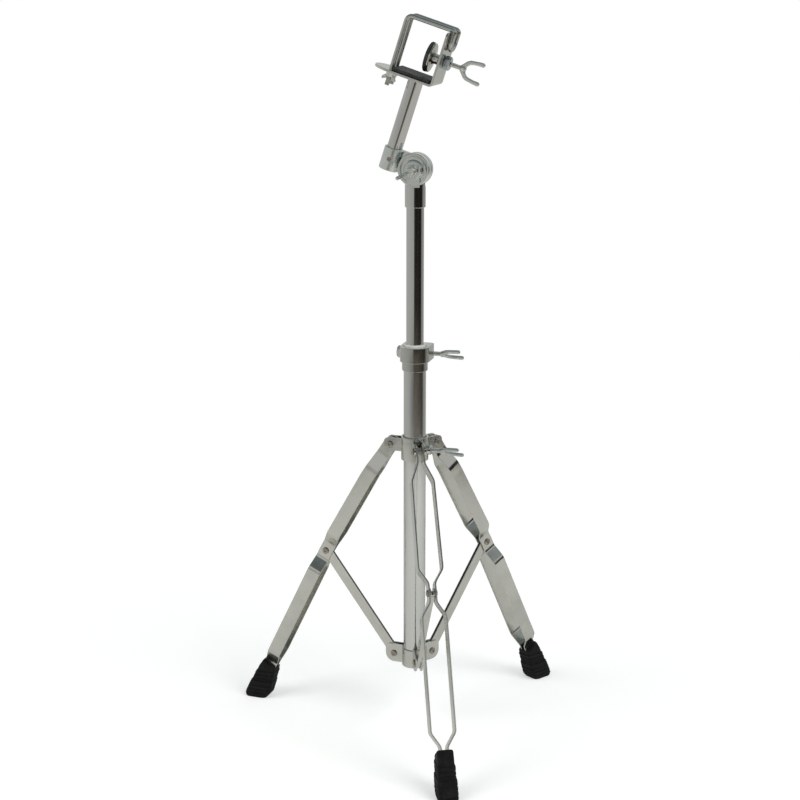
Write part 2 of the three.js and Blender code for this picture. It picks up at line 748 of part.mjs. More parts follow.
function tilterArm() {
  const discEnd = gap + tilterDiscThickness;
  const disc = alongY(rod(tilterRadius, gap, discEnd));
  const socket = rod(socketRadius, -socketFoot, socketTop).translate(-armOffset, 0, 0);
  const web = box(-armOffset, 0, gap, discEnd, -socketFoot, webTop);
  const bore = rod(armTubeRadius + gap, socketFloor - socketFoot, socketTop + overrun);
  const hole = alongY(rod(tilterBoltRadius + gap, 0, discEnd + overrun, boltFacets));
  const screwHole = alongY(rod(setScrewRadius + gap, -socketRadius - overrun, 0, boltFacets));
  bore.translate(-armOffset, 0, 0);
  return cut(join(disc, socket, web), bore, hole, screwHole.translate(-armOffset, 0, setScrewHeight));
}

const armTubeFoot = socketFloor - socketFoot + gap;
const armTube = pipe(armTubeRadius, armTubeRadius - armTubeWall, armTubeFoot, seatHeight - gap);
const setScrewStart = armTubeRadius + gap;
const setScrew = alongY(rod(setScrewRadius, -socketRadius, -setScrewStart, boltFacets));
add(arm, "tilter_arm", tilterArm(), castChrome);
add(arm, "arm_tube", armTube.translate(-armOffset, 0, 0), chrome);
add(arm, "arm_set_screw", setScrew.translate(-armOffset, 0, setScrewHeight), zinc);

// The head stands on the arm tube: X points to its back plate, Z away from the tube
const head = new THREE.Group();
head.position.set(-armOffset, 0, seatHeight);
arm.add(head);

const headHalf = headWidth / 2;
const backInner = backReach - plateThickness;

function headBracket() {
  const innerBend = bendRadius - plateThickness;
  const section = new THREE.Shape();
  section.moveTo(-tongueReach, 0);
  section.absarc(backReach - bendRadius, bendRadius, bendRadius, -Math.PI / 2, 0);
  section.lineTo(backReach, backHeight);
  section.lineTo(backInner, backHeight);
  section.absarc(backReach - bendRadius, bendRadius, innerBend, 0, -Math.PI / 2, true);
  section.lineTo(-tongueReach, plateThickness);
  const top = new THREE.Shape();
  top.moveTo(backReach + overrun, -headHalf);
  top.lineTo(backReach + overrun, headHalf);
  top.absarc(headHalf - tongueReach, 0, headHalf, Math.PI / 2, Math.PI * 1.5);
  const low = -backCornerRadius - overrun;
  const back = roundedRectangle(-headHalf, headHalf, low, backHeight, backCornerRadius);
  const facing = plate(back, -tongueReach - overrun, backReach + overrun);
  const side = facing.rotateX(Math.PI / 2).rotateZ(Math.PI / 2);
  const rodHole = rod(rodRadius + gap, -overrun, plateThickness + overrun, boltFacets);
  const rodHoles = [-1, 1].map((sign) => rodHole.clone().translate(-rodReach, sign * rodSpacing / 2, 0));
  const screwHole = alongX(rod(screwRadius + gap, backInner - overrun, backReach + overrun, boltFacets));
  const above = plate(top, low, backHeight + overrun, tubeFacets / 2);
  const blank = common(upright(section, headWidth), above, side);
  return cut(blank, ...rodHoles, screwHole.translate(0, 0, clampScrewHeight));
}

add(head, "head_bracket", headBracket(), chrome);

// Seat pad of rubber between the hook rod and the bend
const padLow = rodRadius + sideGap - rodReach;
const padHigh = backReach - bendRadius - gap;
const padHalf = seatPadWidth / 2;
const seatPad = plate(
  roundedRectangle(padLow, padHigh, -padHalf, padHalf, seatPadCornerRadius),
  plateThickness + gap,
  plateThickness + gap + seatPadThickness,
);
add(head, "seat_pad", seatPad, rubber);

// Hook rod: up from the seat, over the back plate's edge and down behind it to a closed end
const rodTop = backHeight + gap + rodRadius;
const hookReach = backReach + gap + rodRadius;
const halfSpacing = rodSpacing / 2;
const hookCorners = [
  { point: new THREE.Vector3(-rodReach, -halfSpacing, -rodEndDrop) },
  { point: new THREE.Vector3(-rodReach, -halfSpacing, rodTop), radius: rodTopBend },
  { point: new THREE.Vector3(hookReach, -halfSpacing, rodTop), radius: rodBackBend },
  { point: new THREE.Vector3(hookReach, -halfSpacing, hookEndHeight), radius: halfSpacing * hookBendShare },
  { point: new THREE.Vector3(hookReach, halfSpacing, hookEndHeight), radius: halfSpacing * hookBendShare },
  { point: new THREE.Vector3(hookReach, halfSpacing, rodTop), radius: rodBackBend },
  { point: new THREE.Vector3(-rodReach, halfSpacing, rodTop), radius: rodTopBend },
  { point: new THREE.Vector3(-rodReach, halfSpacing, -rodEndDrop) },
];
add(head, "hook_rod", bentRod(hookCorners, rodRadius), chrome);

// A wing nut under the seat plate: a round body and two thin wings that spread downwards
const wingNutShares = [[0.2, 0], [0.6, 0.15], [1, 0.6], [1, 1], [0.75, 1], [0.2, 0.7]];

function wingNut() {
  const span = wingNutDrop - wingNutWingRoot;
  const side = wingNutShares.map(([x, z]) => [x * wingNutReach, -wingNutWingRoot - gap - z * span]);
  const wings = [1, -1].map((sign) => {
    const points = side.map(([x, z]) => [sign * x, z]);
    return upright(outline(points), wingNutThickness);
  });
  const body = rod(wingNutRadius, -wingNutHeight - gap, -gap, headFacets);
  return cut(join(body, ...wings), rod(rodRadius + gap, -wingNutDrop - overrun, overrun, boltFacets));
}

add(head, "near_wing_nut", wingNut().translate(-rodReach, -halfSpacing, 0), zinc);
add(head, "far_wing_nut", wingNut().rotateZ(Math.PI / 2).translate(-rodReach, halfSpacing, 0), zinc);

// Clamp nut on the back plate, and the clamp screw that pushes the pressure plate
const headNutSeat = backReach + gap;
const headNutEnd = headNutSeat + headNutThickness;
const headNut = cut(
  hexagon(headNutWidth, headNutSeat, headNutEnd),
  rod(screwRadius + gap, headNutSeat - overrun, headNutEnd + overrun, boltFacets),
);
add(head, "clamp_nut", alongX(headNut).translate(0, 0, clampScrewHeight), zinc);

const rubberBack = pressureFaceReach + pressureRubberThickness;
const plateFace = rubberBack + gap;
const plateBack = plateFace + pressureThickness;
const cupEnd = plateBack + cupLength;
const cupFloor = cupEnd - cupDepth;
const pressurePlate = turned([
  [0, plateFace], [pressureRadius, plateFace], [pressureRadius, plateBack], [cupRadius, plateBack],
  [cupRadius, cupEnd], [screwRadius + gap, cupEnd], [screwRadius + gap, cupFloor], [0, cupFloor],
], tubeFacets);
add(head, "pressure_plate", alongX(pressurePlate).translate(0, 0, clampScrewHeight), chrome);
const pressurePad = alongX(rod(pressureRubberRadius, pressureFaceReach, rubberBack));
add(head, "pressure_pad", pressurePad.translate(0, 0, clampScrewHeight), rubber);
const headScrew = wingScrew(cupFloor + gap, clampShaftReach).rotateX(THREE.MathUtils.degToRad(clampWingTurn));
add(head, "clamp_screw", headScrew.translate(0, 0, clampScrewHeight), zinc);

// The origin is on the floor, below the middle of the whole stand
const frame = new THREE.Group();
frame.add(stand);
frame.updateMatrixWorld(true);
const extent = new THREE.Box3().setFromObject(stand, true);
stand.position.set(-(extent.min.x + extent.max.x) / 2, -(extent.min.y + extent.max.y) / 2, -extent.min.z);

export default frame;
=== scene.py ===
import json
import math

import bpy
from mathutils import Matrix, Vector


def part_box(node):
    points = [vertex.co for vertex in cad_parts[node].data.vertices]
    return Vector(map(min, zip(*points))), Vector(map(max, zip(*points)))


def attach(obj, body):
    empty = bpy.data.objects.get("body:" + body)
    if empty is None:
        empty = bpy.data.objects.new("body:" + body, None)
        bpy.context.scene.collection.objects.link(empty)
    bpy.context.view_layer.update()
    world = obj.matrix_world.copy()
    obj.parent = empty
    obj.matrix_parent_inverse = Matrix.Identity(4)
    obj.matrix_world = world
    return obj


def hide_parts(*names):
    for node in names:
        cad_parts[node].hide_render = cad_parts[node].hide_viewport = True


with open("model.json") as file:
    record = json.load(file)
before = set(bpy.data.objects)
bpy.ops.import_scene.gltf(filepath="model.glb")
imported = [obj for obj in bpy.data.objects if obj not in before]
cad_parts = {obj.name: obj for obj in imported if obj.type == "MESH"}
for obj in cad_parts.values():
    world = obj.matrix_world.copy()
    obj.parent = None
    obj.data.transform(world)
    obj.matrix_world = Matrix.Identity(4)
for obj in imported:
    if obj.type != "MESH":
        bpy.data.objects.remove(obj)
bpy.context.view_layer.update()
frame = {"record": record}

bpy.ops.object.select_all(action="DESELECT")


# Lower tube.
# Plated steel tube, 28.6 mm across. The lower hub is riveted to its foot, the height clamp sits on its
# mouth, and everything else is placed from its axis.
tube_low, tube_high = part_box("lower_tube")
tube_axis = Vector(((tube_low.x + tube_high.x) / 2, (tube_low.y + tube_high.y) / 2, 0))
stand_place = Matrix.Translation(tube_axis)
lower_tube_radius = (tube_high.x - tube_low.x) / 2
lower_tube_wall = 0.0015
tube_steps = 96
weld_distance = 0.000002
seed_size = 0.001
tube_edge = 0.0004


def to_mode(mode):
    bpy.ops.object.mode_set(mode=mode)


def pick_all():
    bpy.ops.mesh.select_all(action="SELECT")


def close_up(weld=False):
    """Turns the faces outward and ends the editing, with doubled points merged first if asked."""
    pick_all()
    if weld:
        bpy.ops.mesh.remove_doubles(threshold=weld_distance)
    bpy.ops.mesh.normals_make_consistent(inside=False)
    to_mode("OBJECT")


def start_point(x, y, z):
    """One vertex to draw from, left in edit mode."""
    bpy.ops.object.select_all(action="DESELECT")
    bpy.ops.mesh.primitive_plane_add(size=seed_size, location=(0, 0, 0))
    to_mode("EDIT")
    bpy.ops.mesh.select_mode(type="VERT")
    pick_all()
    bpy.ops.mesh.merge(type="CENTER")
    bpy.ops.transform.translate(value=(x, y, z))
    return bpy.context.active_object


def draw_line(points):
    """Draws on from the selected vertex through the points."""
    for here, there in zip(points, points[1:]):
        step = Vector(there) - Vector(here)
        bpy.ops.mesh.extrude_vertices_move(TRANSFORM_OT_translate={"value": step})


def turn_piece(outline, steps=64):
    """Spins an outline of (radius, height) pairs about the Z axis."""
    points = [(radius, 0, height) for radius, height in outline]
    piece = start_point(*points[0])
    draw_line(points)
    pick_all()
    bpy.ops.mesh.spin(steps=steps, angle=math.tau, center=(0, 0, 0), axis=(0, 0, 1))
    close_up(weld=True)
    return piece


def rim(radius, low, high, edge):
    """The outside of a turned shape from low to high, with both its edges taken off."""
    return [(radius - edge, low), (radius, low + edge), (radius, high - edge), (radius - edge, high)]


def ring_outline(inner, outer, low, high, edge=tube_edge):
    """A tube's wall, cut through: a closed outline with its edges taken off."""
    return [(inner + edge, low), *rim(outer, low, high, edge), *rim(inner, high, low, -edge)]


def only(piece):
    bpy.ops.object.select_all(action="DESELECT")
    piece.select_set(True)
    bpy.context.view_layer.objects.active = piece


def settle(piece, place):
    """Puts a piece in its place and leaves the place in its mesh."""
    only(piece)
    piece.matrix_world = place
    bpy.ops.object.transform_apply(location=True, rotation=True, scale=True)


def break_edges(piece, width, segments=2, angle=35):
    """Rounds the edges that are sharper than the angle."""
    only(piece)
    breaker = piece.modifiers.new("broken_edges", "BEVEL")
    breaker.width = width
    breaker.segments = segments
    breaker.limit_method = "ANGLE"
    breaker.angle_limit = math.radians(angle)
    bpy.ops.object.modifier_apply(modifier=breaker.name)


def fit_piece(piece, place, node, body, finish, edge=0.0, segments=2, angle=35):
    """Sets the piece in its place, breaks its edges, smooths its round faces and fixes it to its body."""
    settle(piece, place)
    if edge:
        break_edges(piece, edge, segments, angle)
    bpy.ops.object.shade_smooth_by_angle(angle=math.radians(angle))
    shading = piece.modifiers.new("even_shading", "WEIGHTED_NORMAL")
    shading.keep_sharp = True
    bpy.ops.object.modifier_apply(modifier=shading.name)
    piece.name = "shown_" + node
    piece.data.name = "shown_" + node
    piece.data.materials.clear()
    piece.data.materials.append(finish)
    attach(piece, body)
    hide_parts(node)


def add_node(tree, kind, inputs=(), **settings):
    """A shader node with its settings. Each input takes a value or another node's output."""
    made = tree.nodes.new("ShaderNode" + kind)
    for setting, value in settings.items():
        setattr(made, setting, value)
    for key, value in dict(inputs).items():
        if isinstance(value, bpy.types.NodeSocket):
            tree.links.new(value, made.inputs[key])
        else:
            made.inputs[key].default_value = value
    return made


def two_tones(tree, level, dark, light, start=0.0, end=1.0):
    """A colour that goes from dark to light as the level goes from start to end."""
    tint = add_node(tree, "ValToRGB", {"Fac": level})
    for element, tone, position in zip(tint.color_ramp.elements, (dark, light), (start, end)):
        element.position = position
        element.color = (*tone, 1)
    return tint.outputs["Color"]


def new_finish(name):
    """An empty material: its nodes, its shader and the place that its textures are laid on."""
    finish = bpy.data.materials.new(name)
    finish.use_nodes = True
    tree = finish.node_tree
    return finish, tree, tree.nodes["Principled BSDF"], add_node(tree, "TexCoord").outputs["Object"]


def dress(tree, shader, colour, roughness, relief=None):
    """Joins the colour, the roughness and the relief to the shader."""
    tree.links.new(colour, shader.inputs["Base Color"])
    tree.links.new(roughness, shader.inputs["Roughness"])
    if relief:
        tree.links.new(relief, shader.inputs["Normal"])


def chrome_finish(name, tone=(0.74, 0.735, 0.715), polish=0.05, worn=0.15, grain=(1, 1, 1), wave=0.02):
    """Plated metal: a clear polish, faint hazy patches, fine scuffs and a little dullness in them."""
    finish, tree, shader, place = new_finish(name)
    shader.inputs["Metallic"].default_value = 1.0
    stretch = add_node(tree, "Mapping", {"Vector": place, "Scale": grain}).outputs["Vector"]
    haze = add_node(
        tree, "TexNoise", {"Vector": stretch, "Scale": 34, "Detail": 6, "Roughness": 0.62}).outputs["Fac"]
    scuffs = add_node(tree, "TexNoise", {"Vector": stretch, "Scale": 620, "Detail": 3}).outputs["Fac"]
    dull = add_node(tree, "MapRange", {
        "Value": haze, "From Min": 0.35, "From Max": 0.75, "To Min": polish,
        "To Max": worn}).outputs["Result"]
    speck = add_node(tree, "Math", {0: scuffs, 1: 0.05, 2: dull}, operation="MULTIPLY_ADD").outputs["Value"]
    relief = add_node(tree, "Bump", {"Strength": wave, "Distance": 0.0004, "Height": haze}).outputs["Normal"]
    shade = tuple(part * 0.86 for part in tone)
    dress(tree, shader, two_tones(tree, haze, shade, tone, 0.33, 0.62), speck, relief)
    return finish


tube_chrome = chrome_finish("drawn_tube_chrome", grain=(1, 1, 0.06), wave=0.03)
lower_tube_inner = lower_tube_radius - lower_tube_wall
lower_tube = turn_piece(
    ring_outline(lower_tube_inner, lower_tube_radius, tube_low.z, tube_high.z), tube_steps)
fit_piece(lower_tube, stand_place, "lower_tube", "base", tube_chrome)


# Lower hub.
# Plated casting round the foot of the tube: a collar with a lip that carries the tube, and a pair of
# rounded ears for each brace. One rivet at the back pins it to the tube.
hub_chrome = chrome_finish("cast_chrome", tone=(0.69, 0.68, 0.635), polish=0.08, worn=0.2, wave=0.14)
fit_gap = 0.0003
lower_collar_wall = 0.0016
lower_collar_rise = 0.011
lower_collar_length = 0.0245
lower_ear_rise = 0.013
lower_ear_drop = 0.0115
lower_ear_inner = 0.0029
ear_thickness = 0.002
ear_corner = 0.006
ear_root = 0.0150
collar_edge = 0.0006
cast_edge = 0.0004


def middle_of(node):
    """The middle of a CAD node, seen from the tube's axis on the floor."""
    low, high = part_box(node)
    return (low + high) / 2 - tube_axis


def side_view(node):
    """A node's middle in its leg's side view: its distance from the tube's axis and its height."""
    middle = middle_of(node)
    return Vector((math.hypot(middle.x, middle.y), middle.z))


def leg_turn(leg):
    knee = middle_of(leg + "_knee_rivet")
    return math.atan2(knee.y, knee.x)


leg_turns = {leg: leg_turn(leg) for leg in ("front", "left", "right")}
brace_pivot = side_view("front_brace_rivet")


def arc(centre, radius, start, end, steps=8):
    """Points on a circle, from one angle to another in degrees."""
    angles = [math.radians(start + (end - start) * step / steps) for step in range(steps + 1)]
    return [(centre[0] + radius * math.cos(angle), centre[1] + radius * math.sin(angle)) for angle in angles]


def cut_plate(outline, thickness):
    """A flat outline in X and Y, given its thickness about the middle."""
    points = [(x, y, -thickness / 2) for x, y in outline]
    piece = start_point(*points[0])
    draw_line(points + points[:1])
    pick_all()
    bpy.ops.mesh.remove_doubles(threshold=weld_distance)
    bpy.ops.mesh.edge_face_add()
    bpy.ops.mesh.extrude_region_move(TRANSFORM_OT_translate={"value": (0, 0, thickness)})
    close_up()
    return piece


def shape_with(piece, operation, tools):
    """Welds on, cuts away or keeps what each tool covers, and takes the tools off the bench."""
    only(piece)
    for tool in tools:
        step = piece.modifiers.new(operation.lower(), "BOOLEAN")
        step.operation = operation
        step.solver = "EXACT"
        step.object = tool
        bpy.ops.object.modifier_apply(modifier=step.name)
        to_mode("EDIT")
        pick_all()
        bpy.ops.mesh.remove_doubles(threshold=weld_distance)
        to_mode("OBJECT")
        bpy.data.objects.remove(tool)


def weld(piece, *tools):
    shape_with(piece, "UNION", tools)


def cut(piece, *tools):
    shape_with(piece, "DIFFERENCE", tools)


upright = Matrix.Rotation(math.radians(90), 4, "X")


def ear_outline(pivot, drop, rise):
    """An ear's side: round below and outside its rivet, square with a rounded corner on top."""
    reach, height = pivot
    tip = reach + drop
    lower_arc = arc(pivot, drop, -90, 0)
    top_arc = arc((tip - ear_corner, height + rise - ear_corner), ear_corner, 0, 90, 6)
    return [(ear_root, height - drop), *lower_arc, *top_arc, (ear_root, height + rise)]


def add_ears(hub, outline, inner):
    """Six ears, a pair for each leg."""
    for turn in leg_turns.values():
        for side in (-1, 1):
            ear = cut_plate(outline, ear_thickness)
            lift = Matrix.Translation((0, side * (inner + ear_thickness / 2), 0))
            settle(ear, Matrix.Rotation(turn, 4, "Z") @ lift @ upright)
            weld(hub, ear)


lower_collar_bore = lower_tube_radius + fit_gap
lower_collar_radius = lower_collar_bore + lower_collar_wall
lower_collar_top = brace_pivot.y + lower_collar_rise
lower_collar_foot = lower_collar_top - lower_collar_length
tube_seat = tube_low.z - fit_gap
lower_hub = turn_piece([
    (lower_tube_inner, lower_collar_foot),
    *rim(lower_collar_radius, lower_collar_foot, lower_collar_top, collar_edge),
    (lower_collar_bore, lower_collar_top), (lower_collar_bore, tube_seat), (lower_tube_inner, tube_seat),
    (lower_tube_inner, lower_collar_foot)], 72)
add_ears(lower_hub, ear_outline(brace_pivot, lower_ear_drop, lower_ear_rise), lower_ear_inner)
fit_piece(lower_hub, stand_place, "lower_hub", "base", hub_chrome, edge=cast_edge)


# Rivets.
# Zinc-plated tubular rivets with a dimple in each head. They pin the hub to the tube, the braces to the
# hub and the legs, the legs to the upper hub, and flush ones hold each pair of strips inside its foot.
rivet_zinc = chrome_finish("rivet_zinc", tone=(0.46, 0.41, 0.36), polish=0.2, worn=0.4, wave=0.1)
rivet_radius = 0.0025
rivet_head = 0.0045
rivet_crown = 0.0018
rivet_rest = 0.0002
brace_grip = lower_ear_inner + ear_thickness
knee_grip = 0.0052
hub_grip = 0.0075
shoulder_radius = 0.0042
shoulder_half = 0.0029
head_shares = [
    (0.97, 0), (1, 0.25), (0.9, 0.6), (0.68, 0.9), (0.45, 1), (0.36, 0.93), (0.26, 0.35), (0, 0.25)]


def mirrored(half):
    """A half outline with its mirror image below zero."""
    return [*((across, -height) for across, height in reversed(half)), *half]


def rivet_half(grip, shaft, head, crown):
    """Half a rivet, from its shaft at the grip to the dimple in its head."""
    return [(shaft, grip), *((head * across, grip + crown * up) for across, up in head_shares)]


def rivet(grip, shoulder=False):
    """A rivet along Y, with a thicker shoulder between the plates if it has one."""
    upper = rivet_half(grip + rivet_rest, rivet_radius, rivet_head, rivet_crown)
    if shoulder:
        upper = [(shoulder_radius, shoulder_half), (rivet_radius, shoulder_half), *upper]
    piece = turn_piece(mirrored(upper), 32)
    settle(piece, along_y)
    return piece


def leg_place(leg, point):
    """From a point of a leg's side view to its place on the stand."""
    return stand_place @ Matrix.Rotation(leg_turns[leg], 4, "Z") @ Matrix.Translation((point[0], 0, point[1]))


along_x = Matrix.Rotation(math.radians(90), 4, "Y")
along_y = Matrix.Rotation(math.radians(-90), 4, "X")
knee_pivot = side_view("front_knee_rivet")
hub_pivot = side_view("front_hub_rivet")
foot_pivot = side_view("front_foot_rivet")
flush_edge = 0.0002
flush_half = [
    (shoulder_radius, shoulder_half), (rivet_radius, shoulder_half), (rivet_radius, knee_grip - flush_edge),
    (rivet_radius - flush_edge, knee_grip), (0, knee_grip)]
for leg in leg_turns:
    for joint, body, grip, pivot in (
            ("brace", "base", brace_grip, brace_pivot), ("knee", "leg_" + leg, knee_grip, knee_pivot),
            ("hub", "hub", hub_grip, hub_pivot)):
        joint_rivet = rivet(grip, shoulder=joint == "hub")
        fit_piece(
            joint_rivet, leg_place(leg, pivot), f"{leg}_{joint}_rivet", body, rivet_zinc, angle=50)
    foot_rivet = turn_piece(mirrored(flush_half), 24)
    fit_piece(
        foot_rivet, leg_place(leg, foot_pivot) @ along_y, leg + "_foot_rivet", "leg_" + leg,
        rivet_zinc, angle=50)

tube_rivet_radius = 0.0020
tube_rivet_head = 0.0038
tube_rivet_seat = lower_collar_radius + fit_gap
tube_rivet = turn_piece([
    (0, lower_tube_inner), (tube_rivet_radius - flush_edge, lower_tube_inner),
    (tube_rivet_radius, lower_tube_inner + flush_edge),
    *rivet_half(tube_rivet_seat, tube_rivet_radius, tube_rivet_head, rivet_crown)], 32)
rear_turn = Matrix.Rotation(leg_turns["front"] + math.pi, 4, "Z")
tube_rivet_height = Matrix.Translation((0, 0, middle_of("hub_rivet").z))
fit_piece(
    tube_rivet, stand_place @ tube_rivet_height @ rear_turn @ along_x, "hub_rivet", "base",
    rivet_zinc, angle=50)


# Braces.
# Three stays of channel pressed from sheet steel and plated, open along the upper side, with round ends
# that turn on rivets in the lower hub and in the knees of the legs.
strip_chrome = chrome_finish("strip_chrome", tone=(0.71, 0.695, 0.645), polish=0.1, worn=0.26, wave=0.1)
brace_width = 0.0125
brace_depth = 0.0052
brace_wall = 0.0013
brace_edge = 0.00035
brace_run = knee_pivot - brace_pivot
tool_reach = 0.02


def box_tool(low, high):
    """A block between two corners, to cut with."""
    low, high = Vector(low), Vector(high)
    bpy.ops.object.select_all(action="DESELECT")
    bpy.ops.mesh.primitive_cube_add(size=1, location=(low + high) / 2)
    block = bpy.context.active_object
    block.scale = high - low
    bpy.ops.object.transform_apply(location=True, rotation=True, scale=True)
    return block


for leg in leg_turns:
    span = brace_run.length
    end_radius = brace_width / 2
    brace = cut_plate([
        *arc((span, 0), end_radius, -90, 90, 14), *arc((0, 0), end_radius, 90, 270, 14)], brace_depth)
    settle(brace, upright)
    inside = brace_depth / 2 - brace_wall
    trough = box_tool(
        (-tool_reach, -inside, brace_wall - end_radius), (span + tool_reach, inside, tool_reach))
    cut(brace, trough)
    lean = Matrix.Rotation(-math.atan2(brace_run.y, brace_run.x), 4, "Y")
    fit_piece(
        brace, leg_place(leg, brace_pivot) @ lean, leg + "_brace", "brace_" + leg, strip_chrome,
        edge=brace_edge)


# Leg strips.
# Two flat plated steel strips to a leg, 18 by 2 mm, pressed in a joggle so that they lie close at the
# hub, the knee and the foot and stand apart between. Their top ends are round.
strip_width = 0.018
strip_thickness = 0.002
pinched = 0.0042
shoulder_spread = 0.0140
strip_spread = 0.01525
top_pinch = 0.018
top_joggle = 0.023
knee_pinch = 0.012
knee_joggle = 0.017
foot_pinch = 0.027
joggle_bend = 0.003
strip_edge = 0.0004
strip_end_round = strip_width * 0.49
upper_leg_run = Vector((0.0295, -0.0455))
lower_leg_run = Vector((0.0935, -0.1925))
shoulder = hub_pivot + upper_leg_run
leg_end = knee_pivot + lower_leg_run
leg_line = [hub_pivot, shoulder, knee_pivot, leg_end]
shoulder_at = (shoulder - hub_pivot).length
knee_at = shoulder_at + (knee_pivot - shoulder).length
strip_end = knee_at + (leg_end - knee_pivot).length
strip_stations = [
    (-strip_width / 2, pinched), (top_pinch, pinched), (top_pinch + top_joggle, shoulder_spread),
    (shoulder_at, shoulder_spread), (knee_at - knee_pinch - knee_joggle, strip_spread),
    (knee_at - knee_pinch, pinched), (knee_at, pinched), (knee_at + knee_pinch, pinched),
    (knee_at + knee_pinch + knee_joggle, strip_spread), (strip_end - foot_pinch - knee_joggle, strip_spread),
    (strip_end - foot_pinch, pinched), (strip_end, pinched)]


def along_leg(distance):
    """The middle of the strip at a distance from its rivet, and the half width across it there."""
    start, end = leg_line[0], leg_line[1]
    passed = 0.0
    for start, end in zip(leg_line, leg_line[1:]):
        length = (end - start).length
        if distance <= passed + length + weld_distance:
            break
        passed += length
    ahead = (end - start).normalized()
    middle = start + ahead * min(distance - passed, length)
    if end is not leg_end and abs(passed + length - distance) < weld_distance:
        onward = leg_line[leg_line.index(end) + 1] - end
        ahead = (ahead + onward.normalized()).normalized()
    return middle, Vector((-ahead.y, ahead.x)) * strip_width / 2


def pick(piece, kind, test):
    """Selects the points, edges or faces that pass the test, and stays in edit mode."""
    to_mode("OBJECT")
    groups = {"VERT": piece.data.vertices, "EDGE": piece.data.edges, "FACE": piece.data.polygons}
    for group in groups.values():
        group.foreach_set("select", [False] * len(group))
    for part in groups[kind]:
        part.select = test(part)
    to_mode("EDIT")
    bpy.ops.mesh.select_mode(type=kind)


def crosses_strip(points, edge):
    """An edge across the strip, between its two ends."""
    one, other = (points[end].co for end in edge.vertices)
    near_end = leg_end.y + foot_pinch / 2
    across = abs((one - other).length - strip_width) < strip_thickness / 3
    return across and near_end < min(one.z, other.z) and max(one.z, other.z) < hub_pivot.y


def start_point_in(point):
    """A loose vertex added to the piece that is being edited."""
    bpy.ops.mesh.primitive_plane_add(size=seed_size, location=(0, 0, 0))
    bpy.ops.mesh.merge(type="CENTER")
    bpy.ops.transform.translate(value=point)


def bent_strip(side):
    """One strip in its leg's side view: two edge lines, bridged, bent and given their thickness."""
    lines = []
    for edge_side in (-1, 1):
        line = []
        for distance, spread in strip_stations:
            middle, half = along_leg(distance)
            point = middle + half * edge_side
            line.append((point.x, side * spread, point.y))
        lines.append(line)
    piece = start_point(*lines[0][0])
    draw_line(lines[0])
    bpy.ops.mesh.select_all(action="DESELECT")
    start_point_in(lines[1][0])
    draw_line(lines[1])
    pick_all()
    bpy.ops.mesh.select_mode(type="EDGE")
    bpy.ops.mesh.bridge_edge_loops()
    pick(piece, "EDGE", lambda edge: crosses_strip(piece.data.vertices, edge))
    bpy.ops.mesh.bevel(offset=joggle_bend, segments=5, affect="EDGES")
    ends = [Vector(line[0]) for line in lines]
    pick(piece, "VERT", lambda point: any((point.co - end).length < weld_distance * 10 for end in ends))
    bpy.ops.mesh.bevel(offset=strip_end_round, segments=8, affect="VERTICES")
    close_up()
    only(piece)
    sheet = piece.modifiers.new("sheet", "SOLIDIFY")
    sheet.thickness = strip_thickness
    sheet.offset = 0
    sheet.use_even_offset = True
    bpy.ops.object.modifier_apply(modifier=sheet.name)
    return piece


for leg in leg_turns:
    for side, mark in ((1, "a"), (-1, "b")):
        strip = bent_strip(side)
        fit_piece(
            strip, stand_place @ Matrix.Rotation(leg_turns[leg], 4, "Z"), f"{leg}_strip_{mark}",
            "leg_" + leg, strip_chrome, edge=strip_edge, segments=3)


# Rubber feet.
# Moulded black boots slipped over the pinched ends of the strips: three tiers, each a little wider than
# the one above, with grooves across them, a flat sole and a cut-back heel.
foot_overhang = 0.0175
foot_heel = leg_end.x - foot_overhang
foot_depth = 0.0455
foot_height = 0.0575
foot_top_width = 0.021
foot_tier_step = 0.0011
foot_tiers = [0.0235, 0.0385]
foot_groove_height = 0.0018
foot_groove_depth = 0.0008
foot_grooves = [0.0055, 0.0110, 0.0165, 0.0275, 0.0325]
foot_round = 0.003
foot_edge = 0.0003
sole_trim = 0.0015
foot_shares = [
    (0.36, 1), (0.03, 0.79), (0, 0.75), (0.26, 0.11), (0.36, 0.02), (0.45, 0), (0.86, 0), (0.93, 0.03),
    (0.95, 0.09), (0.53, 0.8)]


def rubber_finish(name, tone=0.016, dust=0.05, gloss=0.55, shine=0.5):
    """Moulded rubber: black, finely pitted, with a little pale dust."""
    finish, tree, shader, place = new_finish(name)
    shader.inputs["Specular IOR Level"].default_value = shine
    cloud = add_node(tree, "TexNoise", {"Vector": place, "Scale": 90, "Detail": 8}).outputs["Fac"]
    pits = add_node(tree, "TexNoise", {"Vector": place, "Scale": 900, "Detail": 4}).outputs["Fac"]
    sheen = add_node(tree, "MapRange", {
        "Value": cloud, "To Min": gloss - 0.12, "To Max": gloss + 0.2}).outputs["Result"]
    relief = add_node(tree, "Bump", {"Strength": 0.35, "Distance": 0.0003, "Height": pits}).outputs["Normal"]
    black, pale = (tone, tone, tone * 0.97), (dust, dust * 0.98, dust * 0.93)
    dress(tree, shader, two_tones(tree, cloud, black, pale, 0.45, 0.8), sheen, relief)
    return finish


